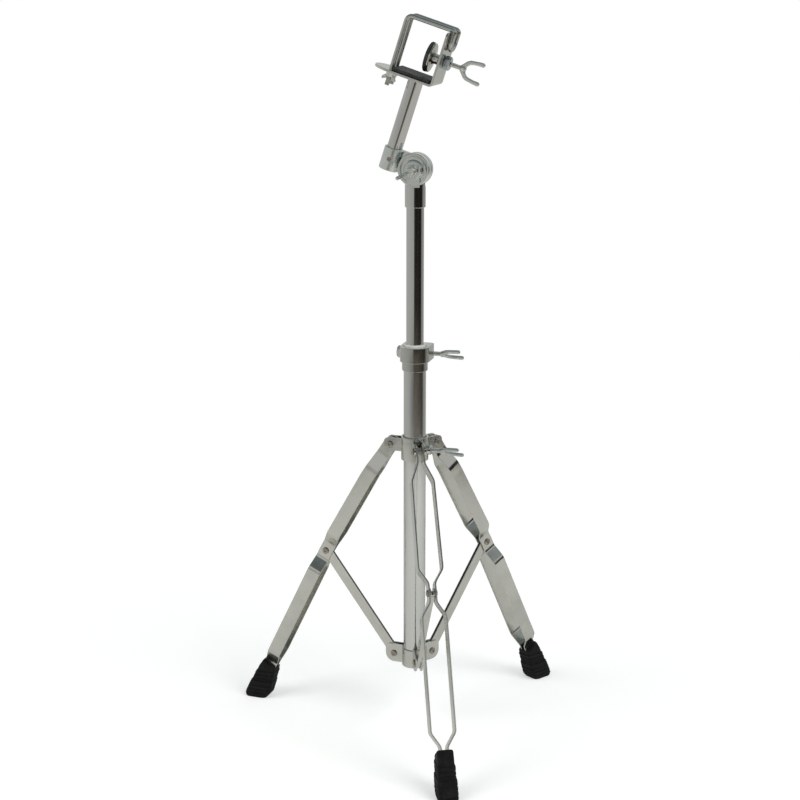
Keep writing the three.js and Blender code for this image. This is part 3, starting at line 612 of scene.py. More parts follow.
foot_rubber = rubber_finish("foot_rubber", tone=0.006, dust=0.018, gloss=0.6, shine=0.22)
for leg in leg_turns:
    foot_outline = [
        (foot_heel + x * foot_depth, z * foot_height if z else -sole_trim) for x, z in foot_shares]
    foot = cut_plate(foot_outline, foot_top_width)
    settle(foot, upright)
    break_edges(foot, foot_round, 3, 60)
    pick(foot, "FACE", lambda face: face.center.z < -sole_trim / 2 and face.normal.z < -0.95)
    bpy.ops.mesh.delete(type="FACE")
    groove_tops = [level + foot_groove_height for level in foot_grooves]
    for height in sorted([*foot_tiers, *foot_grooves, *groove_tops]):
        pick_all()
        bpy.ops.mesh.bisect(plane_co=(0, 0, height), plane_no=(0, 0, 1))
    for height in foot_tiers:
        pick(foot, "FACE", lambda face: face.center.z < height - flush_edge)
        bpy.ops.mesh.extrude_region_shrink_fatten(TRANSFORM_OT_shrink_fatten={"value": foot_tier_step})
        to_mode("OBJECT")
    pick(foot, "FACE", lambda face: abs(face.normal.z) < 0.9 and any(
        level < face.center.z < level + foot_groove_height for level in foot_grooves))
    bpy.ops.mesh.extrude_region_shrink_fatten(TRANSFORM_OT_shrink_fatten={"value": -foot_groove_depth})
    pick_all()
    bpy.ops.mesh.bisect(plane_co=(0, 0, 0), plane_no=(0, 0, 1), use_fill=True, clear_inner=True)
    close_up()
    fit_piece(
        foot, stand_place @ Matrix.Rotation(leg_turns[leg], 4, "Z"), leg + "_foot", "leg_" + leg,
        foot_rubber, edge=foot_edge)


# Upper hub.
# Plated casting that slides on the lower tube: a collar, a pair of ears for the top of each leg, and a
# boss with the thread of the lock screw.
upper_collar_bore = 0.0153
upper_collar_radius = 0.0176
upper_collar_rise = 0.0122
upper_collar_length = 0.031
upper_collar_edge = 0.0005
upper_ear_rise = 0.0085
upper_ear_drop = 0.0082
upper_ear_inner = 0.0055
boss_radius = 0.0065
boss_end = 0.0226
boss_edge = 0.0008
screw_radius = 0.003
screw_hole = screw_radius + fit_gap
upper_collar_top = hub_pivot.y + upper_collar_rise
upper_collar_foot = upper_collar_top - upper_collar_length
upper_hub = turn_piece(ring_outline(
    upper_collar_bore, upper_collar_radius, upper_collar_foot, upper_collar_top, upper_collar_edge), 72)
add_ears(upper_hub, ear_outline(hub_pivot, upper_ear_drop, upper_ear_rise), upper_ear_inner)
lock_middle = middle_of("leg_lock_screw")
lock_direction = Matrix.Rotation((leg_turns["front"] + leg_turns["right"]) / 2, 4, "Z")
lock_turn = Matrix.Translation((0, 0, lock_middle.z)) @ lock_direction
boss_start = (upper_collar_bore + upper_collar_radius) / 2
boss = turn_piece([
    (screw_hole, boss_start), (boss_radius, boss_start), (boss_radius, boss_end - boss_edge),
    (boss_radius - boss_edge, boss_end), (screw_hole, boss_end), (screw_hole, boss_start)], 40)
settle(boss, lock_turn @ along_x)
weld(upper_hub, boss)
fit_piece(upper_hub, stand_place, "upper_hub", "hub", hub_chrome, edge=cast_edge)


# Wing screws.
# Zinc-plated screws with a cast fork for a wing. Four of them: the leg lock, the height clamp, the tilter
# and the drum clamp. Each is made along X, its thread first and its fork beyond.
screw_zinc = chrome_finish("screw_zinc", tone=(0.78, 0.79, 0.75), polish=0.3, worn=0.45, wave=0.12)
thread_pitch = 0.001
thread_depth = 0.00035
fork_thickness = 0.0046
fork_round = 0.0017
neck_step = 0.0010
neck_edge = 0.0012
neck_before, neck_beyond = 0.0018, 0.0050
turned_edge = 0.0005
screw_collar_radius = 0.0070
screw_collar_length = 0.0040
prong_end = 0.0238
prong_middle = 0.0118
prong_tip = 0.0027
fork_outer = [
    (-0.0022, 0.0032), (0.0006, 0.0062), (0.0040, 0.0102), (0.0078, 0.0124), (0.0130, 0.0132),
    (0.0200, 0.0142)]
fork_inner = [(0.0190, 0.0092), (0.0130, 0.0084), (0.0086, 0.0072), (0.0056, 0.0040), (0.0046, 0.0)]
wing_lean = Matrix.Rotation(math.radians(-30), 4, "X")


def threaded_rod(radius, start, end):
    """A turned rod whose ridges follow each other at the thread's pitch."""
    core = radius - thread_depth
    outline = [(0, start), (core, start)]
    height = start + thread_pitch / 2
    while height < end - thread_pitch / 2:
        outline += [(radius, height), (core, height + thread_pitch / 2)]
        height += thread_pitch
    outline += [(core, end), (0, end)]
    return turn_piece(outline, 20)


def wing_fork(root):
    """A fork seen from its side: a round root, and two prongs that open and end in round tips."""
    upper = [*fork_outer, *arc((prong_end, prong_middle), prong_tip, 110, -80, 8), *fork_inner]
    upper = [(root + x, y) for x, y in upper]
    lower = [(x, -y) for x, y in reversed(upper[:-1])]
    fork = cut_plate([*upper, *lower], fork_thickness)
    break_edges(fork, fork_round, 3, 60)
    return fork


def collar_outline(radius, start, end, edge=turned_edge):
    return [(0, start), *rim(radius, start, end, edge), (0, end)]


def wing_screw(start, end, radius=screw_radius, collar=None):
    """Thread from start to end, where the fork's root begins."""
    screw = threaded_rod(radius, start, end + thread_pitch)
    settle(screw, along_x)
    neck = turn_piece(collar_outline(radius + neck_step, end - neck_before, end + neck_beyond, neck_edge), 28)
    settle(neck, along_x)
    weld(screw, wing_fork(end), neck)
    if collar:
        ring = turn_piece(collar_outline(screw_collar_radius, collar, collar + screw_collar_length), 40)
        settle(ring, along_x)
        weld(screw, ring)
    return screw


lock_screw_gap = 0.0006
lock_screw_reach = 0.0140
lock_screw = wing_screw(lower_tube_radius + lock_screw_gap, boss_end + lock_screw_reach)
fit_piece(
    lock_screw, stand_place @ lock_turn @ wing_lean, "leg_lock_screw", "leg_lock", screw_zinc,
    angle=38)


# Height clamp.
# Polished plated casting on the mouth of the lower tube: a band with lugs split at the back, over a short
# sleeve. Its screw and a hexagon nut draw the lugs together on the upper tube.
clamp_low, clamp_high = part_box("height_clamp")
# The clamp's chrome is toned darker than the other plated parts. This is painted shade: it stands in for the
# dark front of the room that the band reflects.
clamp_chrome_painted_shade = chrome_finish("clamp_chrome_painted_shade", tone=(0.62, 0.61, 0.575), polish=0.06, worn=0.14, wave=0.04)
clamp_radius = 0.019
clamp_back = 0.026
clamp_corner = 0.004
clamp_band = 0.0195
clamp_sleeve_radius = 0.0164
clamp_slit = 0.003
height_screw_reach = 0.0110
height_nut_width = 0.014
height_nut_thickness = 0.009
nut_trim_share = 0.16
clamp_bore = lower_tube_radius + fit_gap
bolt_middle = middle_of("height_clamp_nut")


def drill(radius, low, high, steps=28):
    """A plain rod along Z, to cut a round hole with."""
    return turn_piece([(0, low), (radius, low), (radius, high), (0, high)], steps)


clamp_bolt_place = Matrix.Translation((0, bolt_middle.y, bolt_middle.z))
corner_x, corner_y = clamp_radius - clamp_corner, clamp_back - clamp_corner
height_clamp = cut_plate([
    *arc((0, 0), clamp_radius, 180, 360, 48), *arc((corner_x, corner_y), clamp_corner, 0, 90, 6),
    *arc((-corner_x, corner_y), clamp_corner, 90, 180, 6)], clamp_band)
break_edges(height_clamp, collar_edge, 3, 60)
settle(height_clamp, Matrix.Translation((0, 0, clamp_high.z - clamp_band / 2)))
sleeve = turn_piece([
    (0, clamp_low.z), (clamp_sleeve_radius - collar_edge, clamp_low.z),
    (clamp_sleeve_radius, clamp_low.z + collar_edge), (clamp_sleeve_radius, clamp_high.z - clamp_band / 2),
    (0, clamp_high.z - clamp_band / 2)], tube_steps)
weld(height_clamp, sleeve)
bore_low, bore_high = clamp_low.z - tool_reach, clamp_high.z + tool_reach
bore = drill(clamp_bore, bore_low, bore_high, tube_steps)
slit = box_tool((-clamp_slit / 2, 0, bore_low), (clamp_slit / 2, clamp_back + tool_reach, bore_high))
hole_end = clamp_radius + tool_reach
bolt_hole = drill(screw_hole, -hole_end, hole_end)
settle(bolt_hole, clamp_bolt_place @ along_x)
cut(height_clamp, bore, slit, bolt_hole)
fit_piece(height_clamp, stand_place, "height_clamp", "base", clamp_chrome_painted_shade)


def hex_nut(width, thickness, bore_radius):
    """A hexagon nut along Z from zero up, cut from a longer bar, its corners turned off at both ends."""
    side = width / math.sqrt(3)
    nut = cut_plate(arc((0, 0), side, 0, 300, 5), thickness * 2)
    settle(nut, Matrix.Translation((0, 0, thickness / 2)))
    trim = thickness * nut_trim_share
    blank_radius = side + weld_distance
    blank = turn_piece(collar_outline(blank_radius, 0, thickness, trim), 48)
    shape_with(nut, "INTERSECT", [blank])
    cut(nut, drill(bore_radius, -tool_reach, tool_reach))
    return nut


height_nut_place = Matrix.Translation((-clamp_radius - fit_gap - height_nut_thickness, 0, 0))
height_nut = hex_nut(height_nut_width, height_nut_thickness, screw_hole)
fit_piece(
    height_nut, stand_place @ clamp_bolt_place @ height_nut_place @ along_x, "height_clamp_nut", "base",
    screw_zinc)
height_screw_start = -clamp_radius - fit_gap - height_nut_thickness - fit_gap
height_screw = wing_screw(height_screw_start, clamp_radius + height_screw_reach)
fit_piece(
    height_screw, stand_place @ clamp_bolt_place @ wing_lean, "height_clamp_screw", "height_screw",
    screw_zinc, angle=38)


# Nylon bush.
# A pale moulded sleeve in the mouth of the lower tube, with a flange on the tube's end. It guides the
# upper tube and its rim shows inside the clamp.
bush_low, bush_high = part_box("tube_bush")
upper_tube_radius = 0.0111
bush_inner = upper_tube_radius + fit_gap
bush_outer = lower_tube_inner - fit_gap
bush_flange = 0.0136
bush_seat = tube_high.z + fit_gap
bush_edge = 0.0003
bush_nylon, nylon_tree, nylon_shader, nylon_place = new_finish("bush_nylon")
nylon_shader.inputs["Subsurface Weight"].default_value = 0.08
nylon_cloud = add_node(
    nylon_tree, "TexNoise", {"Vector": nylon_place, "Scale": 160, "Detail": 5}).outputs["Fac"]
nylon_dull = add_node(
    nylon_tree, "MapRange", {"Value": nylon_cloud, "To Min": 0.38, "To Max": 0.6}).outputs["Result"]
dress(
    nylon_tree, nylon_shader, two_tones(nylon_tree, nylon_cloud, (0.72, 0.71, 0.66), (0.86, 0.85, 0.81)),
    nylon_dull)
bush = turn_piece([
    (bush_inner + bush_edge, bush_low.z), (bush_outer - bush_edge, bush_low.z),
    (bush_outer, bush_low.z + bush_edge), (bush_outer, bush_seat),
    *rim(bush_flange, bush_seat, bush_high.z, bush_edge),
    *rim(bush_inner, bush_high.z, bush_low.z, -bush_edge)], 64)
fit_piece(bush, stand_place, "tube_bush", "bush", bush_nylon)


# Upper tube.
# Plated steel tube, 22.2 mm across. It slides and turns in the bush, and carries the tilter on its top.
upper_low, upper_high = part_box("upper_tube")
tube_wall = 0.0012
upper_tube = turn_piece(
    ring_outline(upper_tube_radius - tube_wall, upper_tube_radius, upper_low.z, upper_high.z), tube_steps)
fit_piece(upper_tube, stand_place, "upper_tube", "mast", tube_chrome)


# Tilter base.
# Plated casting: a polished sleeve over the top of the upper tube, and above it a satin round cheek with a
# raised rim and a boss, against which the arm's cheek turns.
tilter_low, tilter_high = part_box("tilter_base")
tilter_satin = chrome_finish("tilter_satin", tone=(0.80, 0.825, 0.80), polish=0.16, worn=0.28, wave=0.2)
tilter_radius = 0.0204
cheek_depth = 0.010
cheek_back = cheek_depth + fit_gap
tilter_boss = 0.0112
tilter_boss_rise = 0.0045
boss_front = cheek_back + tilter_boss_rise
tilter_bolt = 0.0039
bolt_bore = tilter_bolt + fit_gap
cheek_edge = 0.0008
tilter_sleeve = 0.0130
sleeve_drop = 0.001
sleeve_lap = 0.014
base_groove = [(0.86, 0), (0.82, 1), (0.73, 1.4), (0.63, 1)]
pivot_height = tilter_high.z - tilter_radius
sleeve_foot = tilter_low.z - pivot_height
sleeve_shoulder = -tilter_radius - sleeve_drop
sleeve_top = sleeve_shoulder + sleeve_lap
sleeve_roof = upper_high.z + fit_gap - pivot_height
pivot_place = stand_place @ Matrix.Translation((0, 0, pivot_height))
tilter_base = turn_piece([
    (0, -fit_gap), *reversed(rim(tilter_radius, -cheek_back, -fit_gap, cheek_edge)),
    *((tilter_radius * share, -cheek_back + cheek_edge * depth) for share, depth in base_groove),
    (tilter_boss + cheek_edge, -cheek_back - cheek_edge), (tilter_boss, -boss_front + cheek_edge),
    (tilter_boss - cheek_edge, -boss_front), (0, -boss_front)], tube_steps)
settle(tilter_base, along_y)
sleeve = turn_piece([
    (0, sleeve_foot), (tilter_sleeve - cheek_edge, sleeve_foot), (tilter_sleeve, sleeve_foot + cheek_edge),
    (tilter_sleeve, sleeve_top), (0, sleeve_top)], 64)
neck_front = box_tool((-tool_reach, -fit_gap - flush_edge, sleeve_shoulder), (tool_reach, tool_reach, 0))
neck_back = box_tool((-tool_reach, -tool_reach, sleeve_shoulder), (tool_reach, -cheek_back + flush_edge, 0))
cut(sleeve, neck_front, neck_back)
weld(tilter_base, sleeve)


def pivot_drill():
    """The hole for the tilter's bolt."""
    drill_end = cheek_back + tool_reach
    bit = drill(bolt_bore, -drill_end, drill_end, 32)
    settle(bit, along_y)
    return bit


cut(tilter_base, pivot_drill())
tube_bore_radius = upper_tube_radius + fit_gap
tube_bore_foot = sleeve_foot - tool_reach
cut(tilter_base, drill(tube_bore_radius, tube_bore_foot, sleeve_roof, 64))
fit_piece(tilter_base, pivot_place, "tilter_base", "mast", tilter_satin)
tilter_base.data.materials.append(tube_chrome)
for face in tilter_base.data.polygons:
    face.material_index = int(face.center.z < pivot_height + sleeve_shoulder)


# Tilter screw.
# Zinc-plated screw through both cheeks, with a round collar on the boss and its fork towards the front.
tilter_nut_thickness = 0.0065
tilter_screw_neck = 0.0067
tilter_screw_end = -cheek_back - fit_gap - tilter_nut_thickness
collar_start = boss_front + fit_gap
tilter_screw = wing_screw(
    tilter_screw_end, collar_start + tilter_screw_neck, tilter_bolt, collar=collar_start)
screw_turn = Matrix.Rotation(math.radians(-90), 4, "Z") @ Matrix.Rotation(math.radians(32), 4, "X")
fit_piece(tilter_screw, pivot_place @ screw_turn, "tilter_screw", "tilter_bolt", screw_zinc, angle=38)


# Tilter arm.
# Plated casting: a round cheek behind the base's, joined by a web to a socket that holds the arm tube.
# A hexagon nut is behind the cheek and a set screw holds the tube in the socket.
seat_mount = next(mount for mount in frame["record"]["mounts"] if mount["name"] == "bongo_seat")
arm_lean = math.atan2(seat_mount["axis"][0], seat_mount["axis"][2])
arm_place = pivot_place @ Matrix.Rotation(arm_lean, 4, "Y")
socket_radius = 0.0123
socket_edge = 0.0009
arm_groove = [(0.84, 0), (0.80, 1), (0.59, 1), (0.55, 0)]
socket_reach = tilter_radius + fit_gap + socket_radius
socket_foot = -0.012
socket_top = 0.0165
socket_floor = -0.009
web_top = 0.016
arm_tube_radius = 0.0096
socket_bore = arm_tube_radius + fit_gap
set_screw_radius = 0.0024
set_screw_height = 0.0025
tilter_nut_width = 0.013
tilter_arm = turn_piece([
    (0, fit_gap), *rim(tilter_radius, fit_gap, cheek_back, cheek_edge),
    *((tilter_radius * share, cheek_back - cheek_edge * depth) for share, depth in arm_groove),
    (0, cheek_back)], tube_steps)
settle(tilter_arm, along_y)
socket_place = Matrix.Translation((-socket_reach, 0, 0))
socket = turn_piece(collar_outline(socket_radius, socket_foot, socket_top, socket_edge), 64)
settle(socket, socket_place)
weld(tilter_arm, socket)
web_low = Vector((-socket_reach, fit_gap + flush_edge, socket_foot + flush_edge))
web = box_tool(web_low, (-tilter_bolt, cheek_back - cheek_edge - flush_edge, web_top))
break_edges(web, cheek_edge)
weld(tilter_arm, web)
bore_end = socket_top + tool_reach
arm_bore = drill(socket_bore, socket_floor, bore_end, 64)
settle(arm_bore, socket_place)
cut(tilter_arm, arm_bore)
cut(tilter_arm, pivot_drill())
set_screw_place = socket_place @ Matrix.Translation((0, 0, set_screw_height)) @ along_y
set_screw_bore = set_screw_radius + fit_gap
set_screw_hole = drill(set_screw_bore, -tool_reach, -arm_tube_radius, 24)
settle(set_screw_hole, set_screw_place)
cut(tilter_arm, set_screw_hole)
fit_piece(tilter_arm, arm_place, "tilter_arm", "arm", tilter_satin)

set_screw_start = -socket_bore
set_screw_slot = set_screw_radius / 2
set_screw = turn_piece([
    (0, -socket_radius + set_screw_slot), (set_screw_slot, -socket_radius + set_screw_slot),
    (set_screw_slot, -socket_radius), (set_screw_radius - flush_edge, -socket_radius),
    (set_screw_radius, -socket_radius + flush_edge), (set_screw_radius, set_screw_start),
    (0, set_screw_start)], 24)
fit_piece(set_screw, arm_place @ set_screw_place, "arm_set_screw", "arm", rivet_zinc)
tilter_nut = hex_nut(tilter_nut_width, tilter_nut_thickness, bolt_bore)
fit_piece(
    tilter_nut, arm_place @ Matrix.Translation((0, cheek_back + fit_gap, 0)) @ along_y, "tilter_nut", "arm",
    screw_zinc)


# Arm tube.
# A short plated steel tube, 19.2 mm across, from the socket up. The head's bracket is fixed on its end.
seat_height = 0.104
arm_tube = turn_piece(ring_outline(
    arm_tube_radius - tube_wall, arm_tube_radius, socket_floor + fit_gap, seat_height - fit_gap), tube_steps)
fit_piece(arm_tube, arm_place @ socket_place, "arm_tube", "arm", tube_chrome)


# Head bracket.
# One bent plate of 3 mm plated steel: a seat with a round tongue, and a back plate with rounded corners
# that carries the clamp's nut.
head_place = arm_place @ Matrix.Translation((-socket_reach, 0, seat_height))
plate = 0.003
head_half = 0.025
seat_end = -0.054
back_face = 0.027
back_top = 0.0675
plate_bend = 0.005
back_corner = 0.006
bracket_edge = 0.0005
tool_thickness = 0.2
bend_middle = (back_face - plate_bend, plate_bend)
head_bracket = cut_plate([
    (seat_end, 0), *arc(bend_middle, plate_bend, -90, 0, 10), (back_face, back_top),
    (back_face - plate, back_top), *arc(bend_middle, plate_bend - plate, 0, -90, 10), (seat_end, plate)],
    head_half * 2)
settle(head_bracket, upright)
tongue_end = back_face + tool_reach
tongue_cut = cut_plate([
    (tongue_end, -head_half), (tongue_end, head_half),
    *arc((seat_end + head_half, 0), head_half, 90, 270, 40)], tool_thickness)
shape_with(head_bracket, "INTERSECT", [tongue_cut])
corner_side, corner_height = head_half - back_corner, back_top - back_corner
back_cut = cut_plate([
    (-head_half, -tool_reach), (head_half, -tool_reach),
    *arc((corner_side, corner_height), back_corner, 0, 90, 8),
    *arc((-corner_side, corner_height), back_corner, 90, 180, 8)], tool_thickness)
settle(back_cut, Matrix.Rotation(math.radians(90), 4, "Z") @ upright)
shape_with(head_bracket, "INTERSECT", [back_cut])
fit_piece(
    head_bracket, head_place, "head_bracket", "arm", strip_chrome, edge=bracket_edge, segments=3)


# Seat pad.
# A pad of black rubber on the seat plate, between the hook rod and the bend, on which the drums' block rests.
pad_rubber = rubber_finish("pad_rubber", tone=0.022, dust=0.05, gloss=0.5)
pad_thickness = 0.004
pad_low, pad_high, pad_half = -0.0274, 0.0217, 0.022
pad_corner = 0.002
pad_round = 0.0007
near_side, far_side = pad_half - pad_corner, pad_corner - pad_half
seat_pad = cut_plate([
    *arc((pad_high - pad_corner, far_side), pad_corner, -90, 0, 5),
    *arc((pad_high - pad_corner, near_side), pad_corner, 0, 90, 5),
    *arc((pad_low + pad_corner, near_side), pad_corner, 90, 180, 5),
    *arc((pad_low + pad_corner, far_side), pad_corner, 180, 270, 5)], pad_thickness)
fit_piece(
    seat_pad, head_place @ Matrix.Translation((0, 0, plate + fit_gap + pad_thickness / 2)), "seat_pad",
    "arm", pad_rubber, edge=pad_round, segments=3)


# Hook rod.
# One plated 6 mm rod: up from the seat on both sides, over the back plate and down behind it to a
# closed round end. Its two ends are threaded and go through the seat to the wing nuts.
rod_radius = 0.003
rod_spacing = 0.010
rod_reach = -0.031
rod_top = back_top + fit_gap + rod_radius
hook_reach = back_face + fit_gap + rod_radius
top_bend = 0.007
back_bend = 0.0036
hook_end = 0.047
end_bend = rod_spacing * 0.98
thread_foot = -0.017
thread_top = 0.004


def bend(centre, axis, degrees, steps=10):
    """Bends the selected end on round a point, anticlockwise as seen from the axis's tip."""
    bpy.ops.mesh.spin(steps=steps, angle=math.radians(-degrees), center=centre, axis=axis)


def push(vector):
    bpy.ops.mesh.extrude_region_move(TRANSFORM_OT_translate={"value": vector})


bpy.ops.object.select_all(action="DESELECT")
rod_start = (rod_reach, -rod_spacing, thread_top - thread_pitch / 4)
bpy.ops.mesh.primitive_circle_add(vertices=24, radius=rod_radius, fill_type="NGON", location=rod_start)
hook_rod = bpy.context.active_object
bpy.ops.object.transform_apply(location=True, rotation=True, scale=True)
to_mode("EDIT")
bpy.ops.mesh.select_mode(type="FACE")
pick_all()
rise = rod_top - top_bend - rod_start[2]
run_back = hook_reach - back_bend - rod_reach - top_bend
drop_behind = rod_top - back_bend - hook_end
cross = 2 * (rod_spacing - end_bend)
push((0, 0, rise))
bend((rod_reach + top_bend, -rod_spacing, rod_top - top_bend), (0, 1, 0), 90)
push((run_back, 0, 0))
bend((hook_reach - back_bend, -rod_spacing, rod_top - back_bend), (0, 1, 0), 90)
push((0, 0, end_bend - drop_behind))
bend((hook_reach, end_bend - rod_spacing, hook_end + end_bend), (1, 0, 0), 90)
push((0, cross, 0))
bend((hook_reach, rod_spacing - end_bend, hook_end + end_bend), (1, 0, 0), 90)
push((0, 0, drop_behind - end_bend))
bend((hook_reach - back_bend, rod_spacing, rod_top - back_bend), (0, 1, 0), -90)
push((-run_back, 0, 0))
bend((rod_reach + top_bend, rod_spacing, rod_top - top_bend), (0, 1, 0), -90)
push((0, 0, -rise))
close_up(weld=True)
for side in (-1, 1):
    thread = threaded_rod(rod_radius, thread_foot, thread_top)
    settle(thread, Matrix.Translation((rod_reach, side * rod_spacing, 0)))
    weld(hook_rod, thread)
rod_chrome = chrome_finish("rod_chrome", tone=(0.58, 0.60, 0.56), polish=0.2, worn=0.3, wave=0.01)
fit_piece(hook_rod, head_place, "hook_rod", "arm", rod_chrome, angle=50)


# Wing nuts.
# Two zinc-plated nuts under the seat, each a round body with two thin wings that spread downwards.
nut_top = 0.0052
nut_foot = 0.0044
nut_height = 0.006
nut_wing_thickness = 0.0025
wing_round = 0.0007
wing_shape = [
    (0.0020, -0.0033), (0.0054, -0.0045), (0.0090, -0.0080), (0.0091, -0.0104), (0.0080, -0.0111),
    (0.0066, -0.0106), (0.0020, -0.0088)]
for mark, side, turn in (("near", -1, 0), ("far", 1, 90)):
    nut_end = -fit_gap - nut_height
    nut = turn_piece([
        (0, nut_end), (nut_foot - flush_edge, nut_end), (nut_foot, nut_end + flush_edge),
        (nut_top, -fit_gap - flush_edge), (nut_top - flush_edge, -fit_gap), (0, -fit_gap)], 32)
    for wing_side in (1, -1):
        wing = cut_plate([(wing_side * x, z) for x, z in wing_shape], nut_wing_thickness)
        settle(wing, upright)
        break_edges(wing, wing_round, 2, 60)
        weld(nut, wing)
    cut(nut, drill(screw_hole, -tool_reach, tool_reach))
    nut_place = Matrix.Translation(
        (rod_reach, side * rod_spacing, 0)) @ Matrix.Rotation(math.radians(turn), 4, "Z")
    fit_piece(nut, head_place @ nut_place, mark + "_wing_nut", mark + "_nut", screw_zinc)


# Drum clamp.
# A hexagon nut on the back plate, the clamp screw through it, and the pressure plate that the screw
# pushes: a plated disc with a cup for the screw's end and a rubber disc on its face.
clamp_height = 0.031
clamp_place = head_place @ Matrix.Translation((0, 0, clamp_height))
clamp_nut_width, clamp_nut_thickness = 0.015, 0.008
clamp_screw_root = 0.0500
pad_face = 0.005
pad_back = 0.009
pad_radius = 0.0185
pad_edge = 0.0008
disc_radius = 0.018
disc_face = pad_back + fit_gap
disc_thickness = 0.0025
disc_edge = 0.0004
disc_back = disc_face + disc_thickness
cup_radius = 0.0062
cup_length = 0.008
cup_depth = 0.006
cup_edge = 0.0006
cup_mouth = 0.0003
cup_end = disc_back + cup_length
cup_floor = cup_end - cup_depth
disc_dish = [
    (disc_radius, -0.0010), (disc_radius - 0.0008, -0.0002), (disc_radius * 0.67, 0),
    (disc_radius * 0.44, 0.0008), (cup_radius + 0.0004, 0.0022), (cup_radius, 0.0042)]
nut_blue = chrome_finish("nut_blue_zinc", tone=(0.64, 0.71, 0.74), polish=0.25, worn=0.4, wave=0.1)
clamp_nut = hex_nut(clamp_nut_width, clamp_nut_thickness, screw_hole)
fit_piece(
    clamp_nut, clamp_place @ Matrix.Translation((back_face + fit_gap, 0, 0)) @ along_x, "clamp_nut", "arm",
    nut_blue)
pressure_plate = turn_piece([
    (0, disc_face), (disc_radius - disc_edge, disc_face), (disc_radius, disc_face + disc_edge),
    *((radius, disc_back + rise) for radius, rise in disc_dish),
    (cup_radius, cup_end - cup_edge), (cup_radius - cup_edge, cup_end), (screw_hole + cup_mouth, cup_end),
    (screw_hole, cup_end - cup_mouth), (screw_hole, cup_floor), (0, cup_floor)], 72)
fit_piece(pressure_plate, clamp_place @ along_x, "pressure_plate", "pad", strip_chrome)
pressure_pad = turn_piece(collar_outline(pad_radius, pad_face, pad_back, pad_edge), 72)
fit_piece(pressure_pad, clamp_place @ along_x, "pressure_pad", "pad", pad_rubber)
clamp_screw = wing_screw(cup_floor + fit_gap, clamp_screw_root)
fit_piece(
    clamp_screw, clamp_place @ Matrix.Rotation(math.radians(90), 4, "X"), "clamp_screw", "head_screw",
    screw_zinc, angle=38)


# Studio floor.
# White paper under the stand, lit as it is. To the camera it shows a little lighter than its light, more so
# towards its far end, so that it meets the white wall behind it and keeps the stand's shadow.
bpy.ops.object.select_all(action="DESELECT")
floor_radius = 1.3
floor_drop = 0.0004
near_share, near_glow, far_glow = 0.27, 0.394, 0.61
bpy.ops.mesh.primitive_circle_add(
    vertices=tube_steps, radius=floor_radius, fill_type="NGON", location=(0, 0, 0))
floor = bpy.context.active_object
settle(floor, stand_place @ Matrix.Translation((0, 0, -floor_drop)))
floor.name = "studio_floor"
camera_turn = math.radians(15)
paper, paper_tree, paper_shader, paper_place = new_finish("white_paper")
paper_shader.inputs["Base Color"].default_value = (0.70, 0.69, 0.66, 1)
paper_shader.inputs["Roughness"].default_value = 0.9
paper_shader.inputs["Specular IOR Level"].default_value = 0.0
away_from_camera = (-math.sin(camera_turn), math.cos(camera_turn), 0)
paper_depth = add_node(
    paper_tree, "VectorMath", {0: paper_place, 1: away_from_camera}, operation="DOT_PRODUCT")
paper_lift = add_node(paper_tree, "MapRange", {
    "Value": paper_depth.outputs["Value"], "From Min": -floor_radius * near_share, "From Max": floor_radius,
    "To Min": near_glow, "To Max": far_glow})
paper_seen = add_node(paper_tree, "LightPath").outputs["Is Camera Ray"]
paper_level = add_node(
    paper_tree, "Math", {0: paper_lift.outputs["Result"], 1: paper_seen}, operation="MULTIPLY")
paper_glow = add_node(
    paper_tree, "Emission", {"Color": (0.97, 0.98, 1.0, 1), "Strength": paper_level.outputs["Value"]})
paper_sum = add_node(
    paper_tree, "AddShader", {0: paper_shader.outputs["BSDF"], 1: paper_glow.outputs["Emission"]})
paper_tree.links.new(paper_sum.outputs["Shader"], paper_tree.nodes["Material Output"].inputs["Surface"])
floor.data.materials.append(paper)


# Studio room.
# The camera sees white all round. Metal sees the room: pale on the left and behind, dark in front on the
# right, and a bluish grey ceiling.
scene = bpy.context.scene
room = bpy.data.worlds.new("studio_room")
scene.world = room
room.use_nodes = True
room_tree = room.node_tree
room_tree.nodes.clear()
direction = add_node(room_tree, "TexCoord").outputs["Generated"]
parts = add_node(room_tree, "SeparateXYZ", {"Vector": direction})
flip = add_node(room_tree, "Math", {0: parts.outputs["Y"], 1: -1}, operation="MULTIPLY")
turned = add_node(room_tree, "Math", {0: parts.outputs["X"], 1: flip.outputs["Value"]}, operation="ARCTAN2")
share = add_node(
    room_tree, "MapRange", {"Value": turned.outputs["Value"], "From Min": -math.pi, "From Max": math.pi})


def wall_band(tones):
    """The room's tones round one level, by degrees from the front towards the right."""
    walls = add_node(room_tree, "ValToRGB", {"Fac": share.outputs["Result"]})
    while len(walls.color_ramp.elements) < len(tones):
        walls.color_ramp.elements.new(0.5)
    for element, (degrees, tone) in zip(walls.color_ramp.elements, tones):
        element.position = (degrees + 180) / 360
        element.color = (*tone, 1)
    return walls.outputs["Color"]


eye_level = wall_band([
    (-180, (0.54, 0.55, 0.53)), (-100, (0.48, 0.49, 0.47)), (-40, (0.45, 0.46, 0.44)),
    (-2, (0.43, 0.43, 0.41)), (5, (0.03, 0.027, 0.024)), (30, (0.012, 0.011, 0.011)),
    (50, (0.02, 0.016, 0.014)), (76, (0.012, 0.011, 0.011)), (99, (0.03, 0.027, 0.025)),
    (106, (0.26, 0.26, 0.25)), (150, (0.36, 0.37, 0.36)), (180, (0.54, 0.55, 0.53))])
knee_level = wall_band([
    (-180, (0.52, 0.53, 0.51)), (-70, (0.46, 0.47, 0.45)), (-40, (0.36, 0.37, 0.37)),
    (-14, (0.18, 0.18, 0.17)), (2, (0.13, 0.12, 0.105)), (30, (0.14, 0.125, 0.10)),
    (60, (0.09, 0.08, 0.065)), (90, (0.05, 0.045, 0.04)), (100, (0.07, 0.065, 0.06)),
    (112, (0.26, 0.26, 0.25)), (150, (0.40, 0.41, 0.40)), (180, (0.56, 0.57, 0.55))])


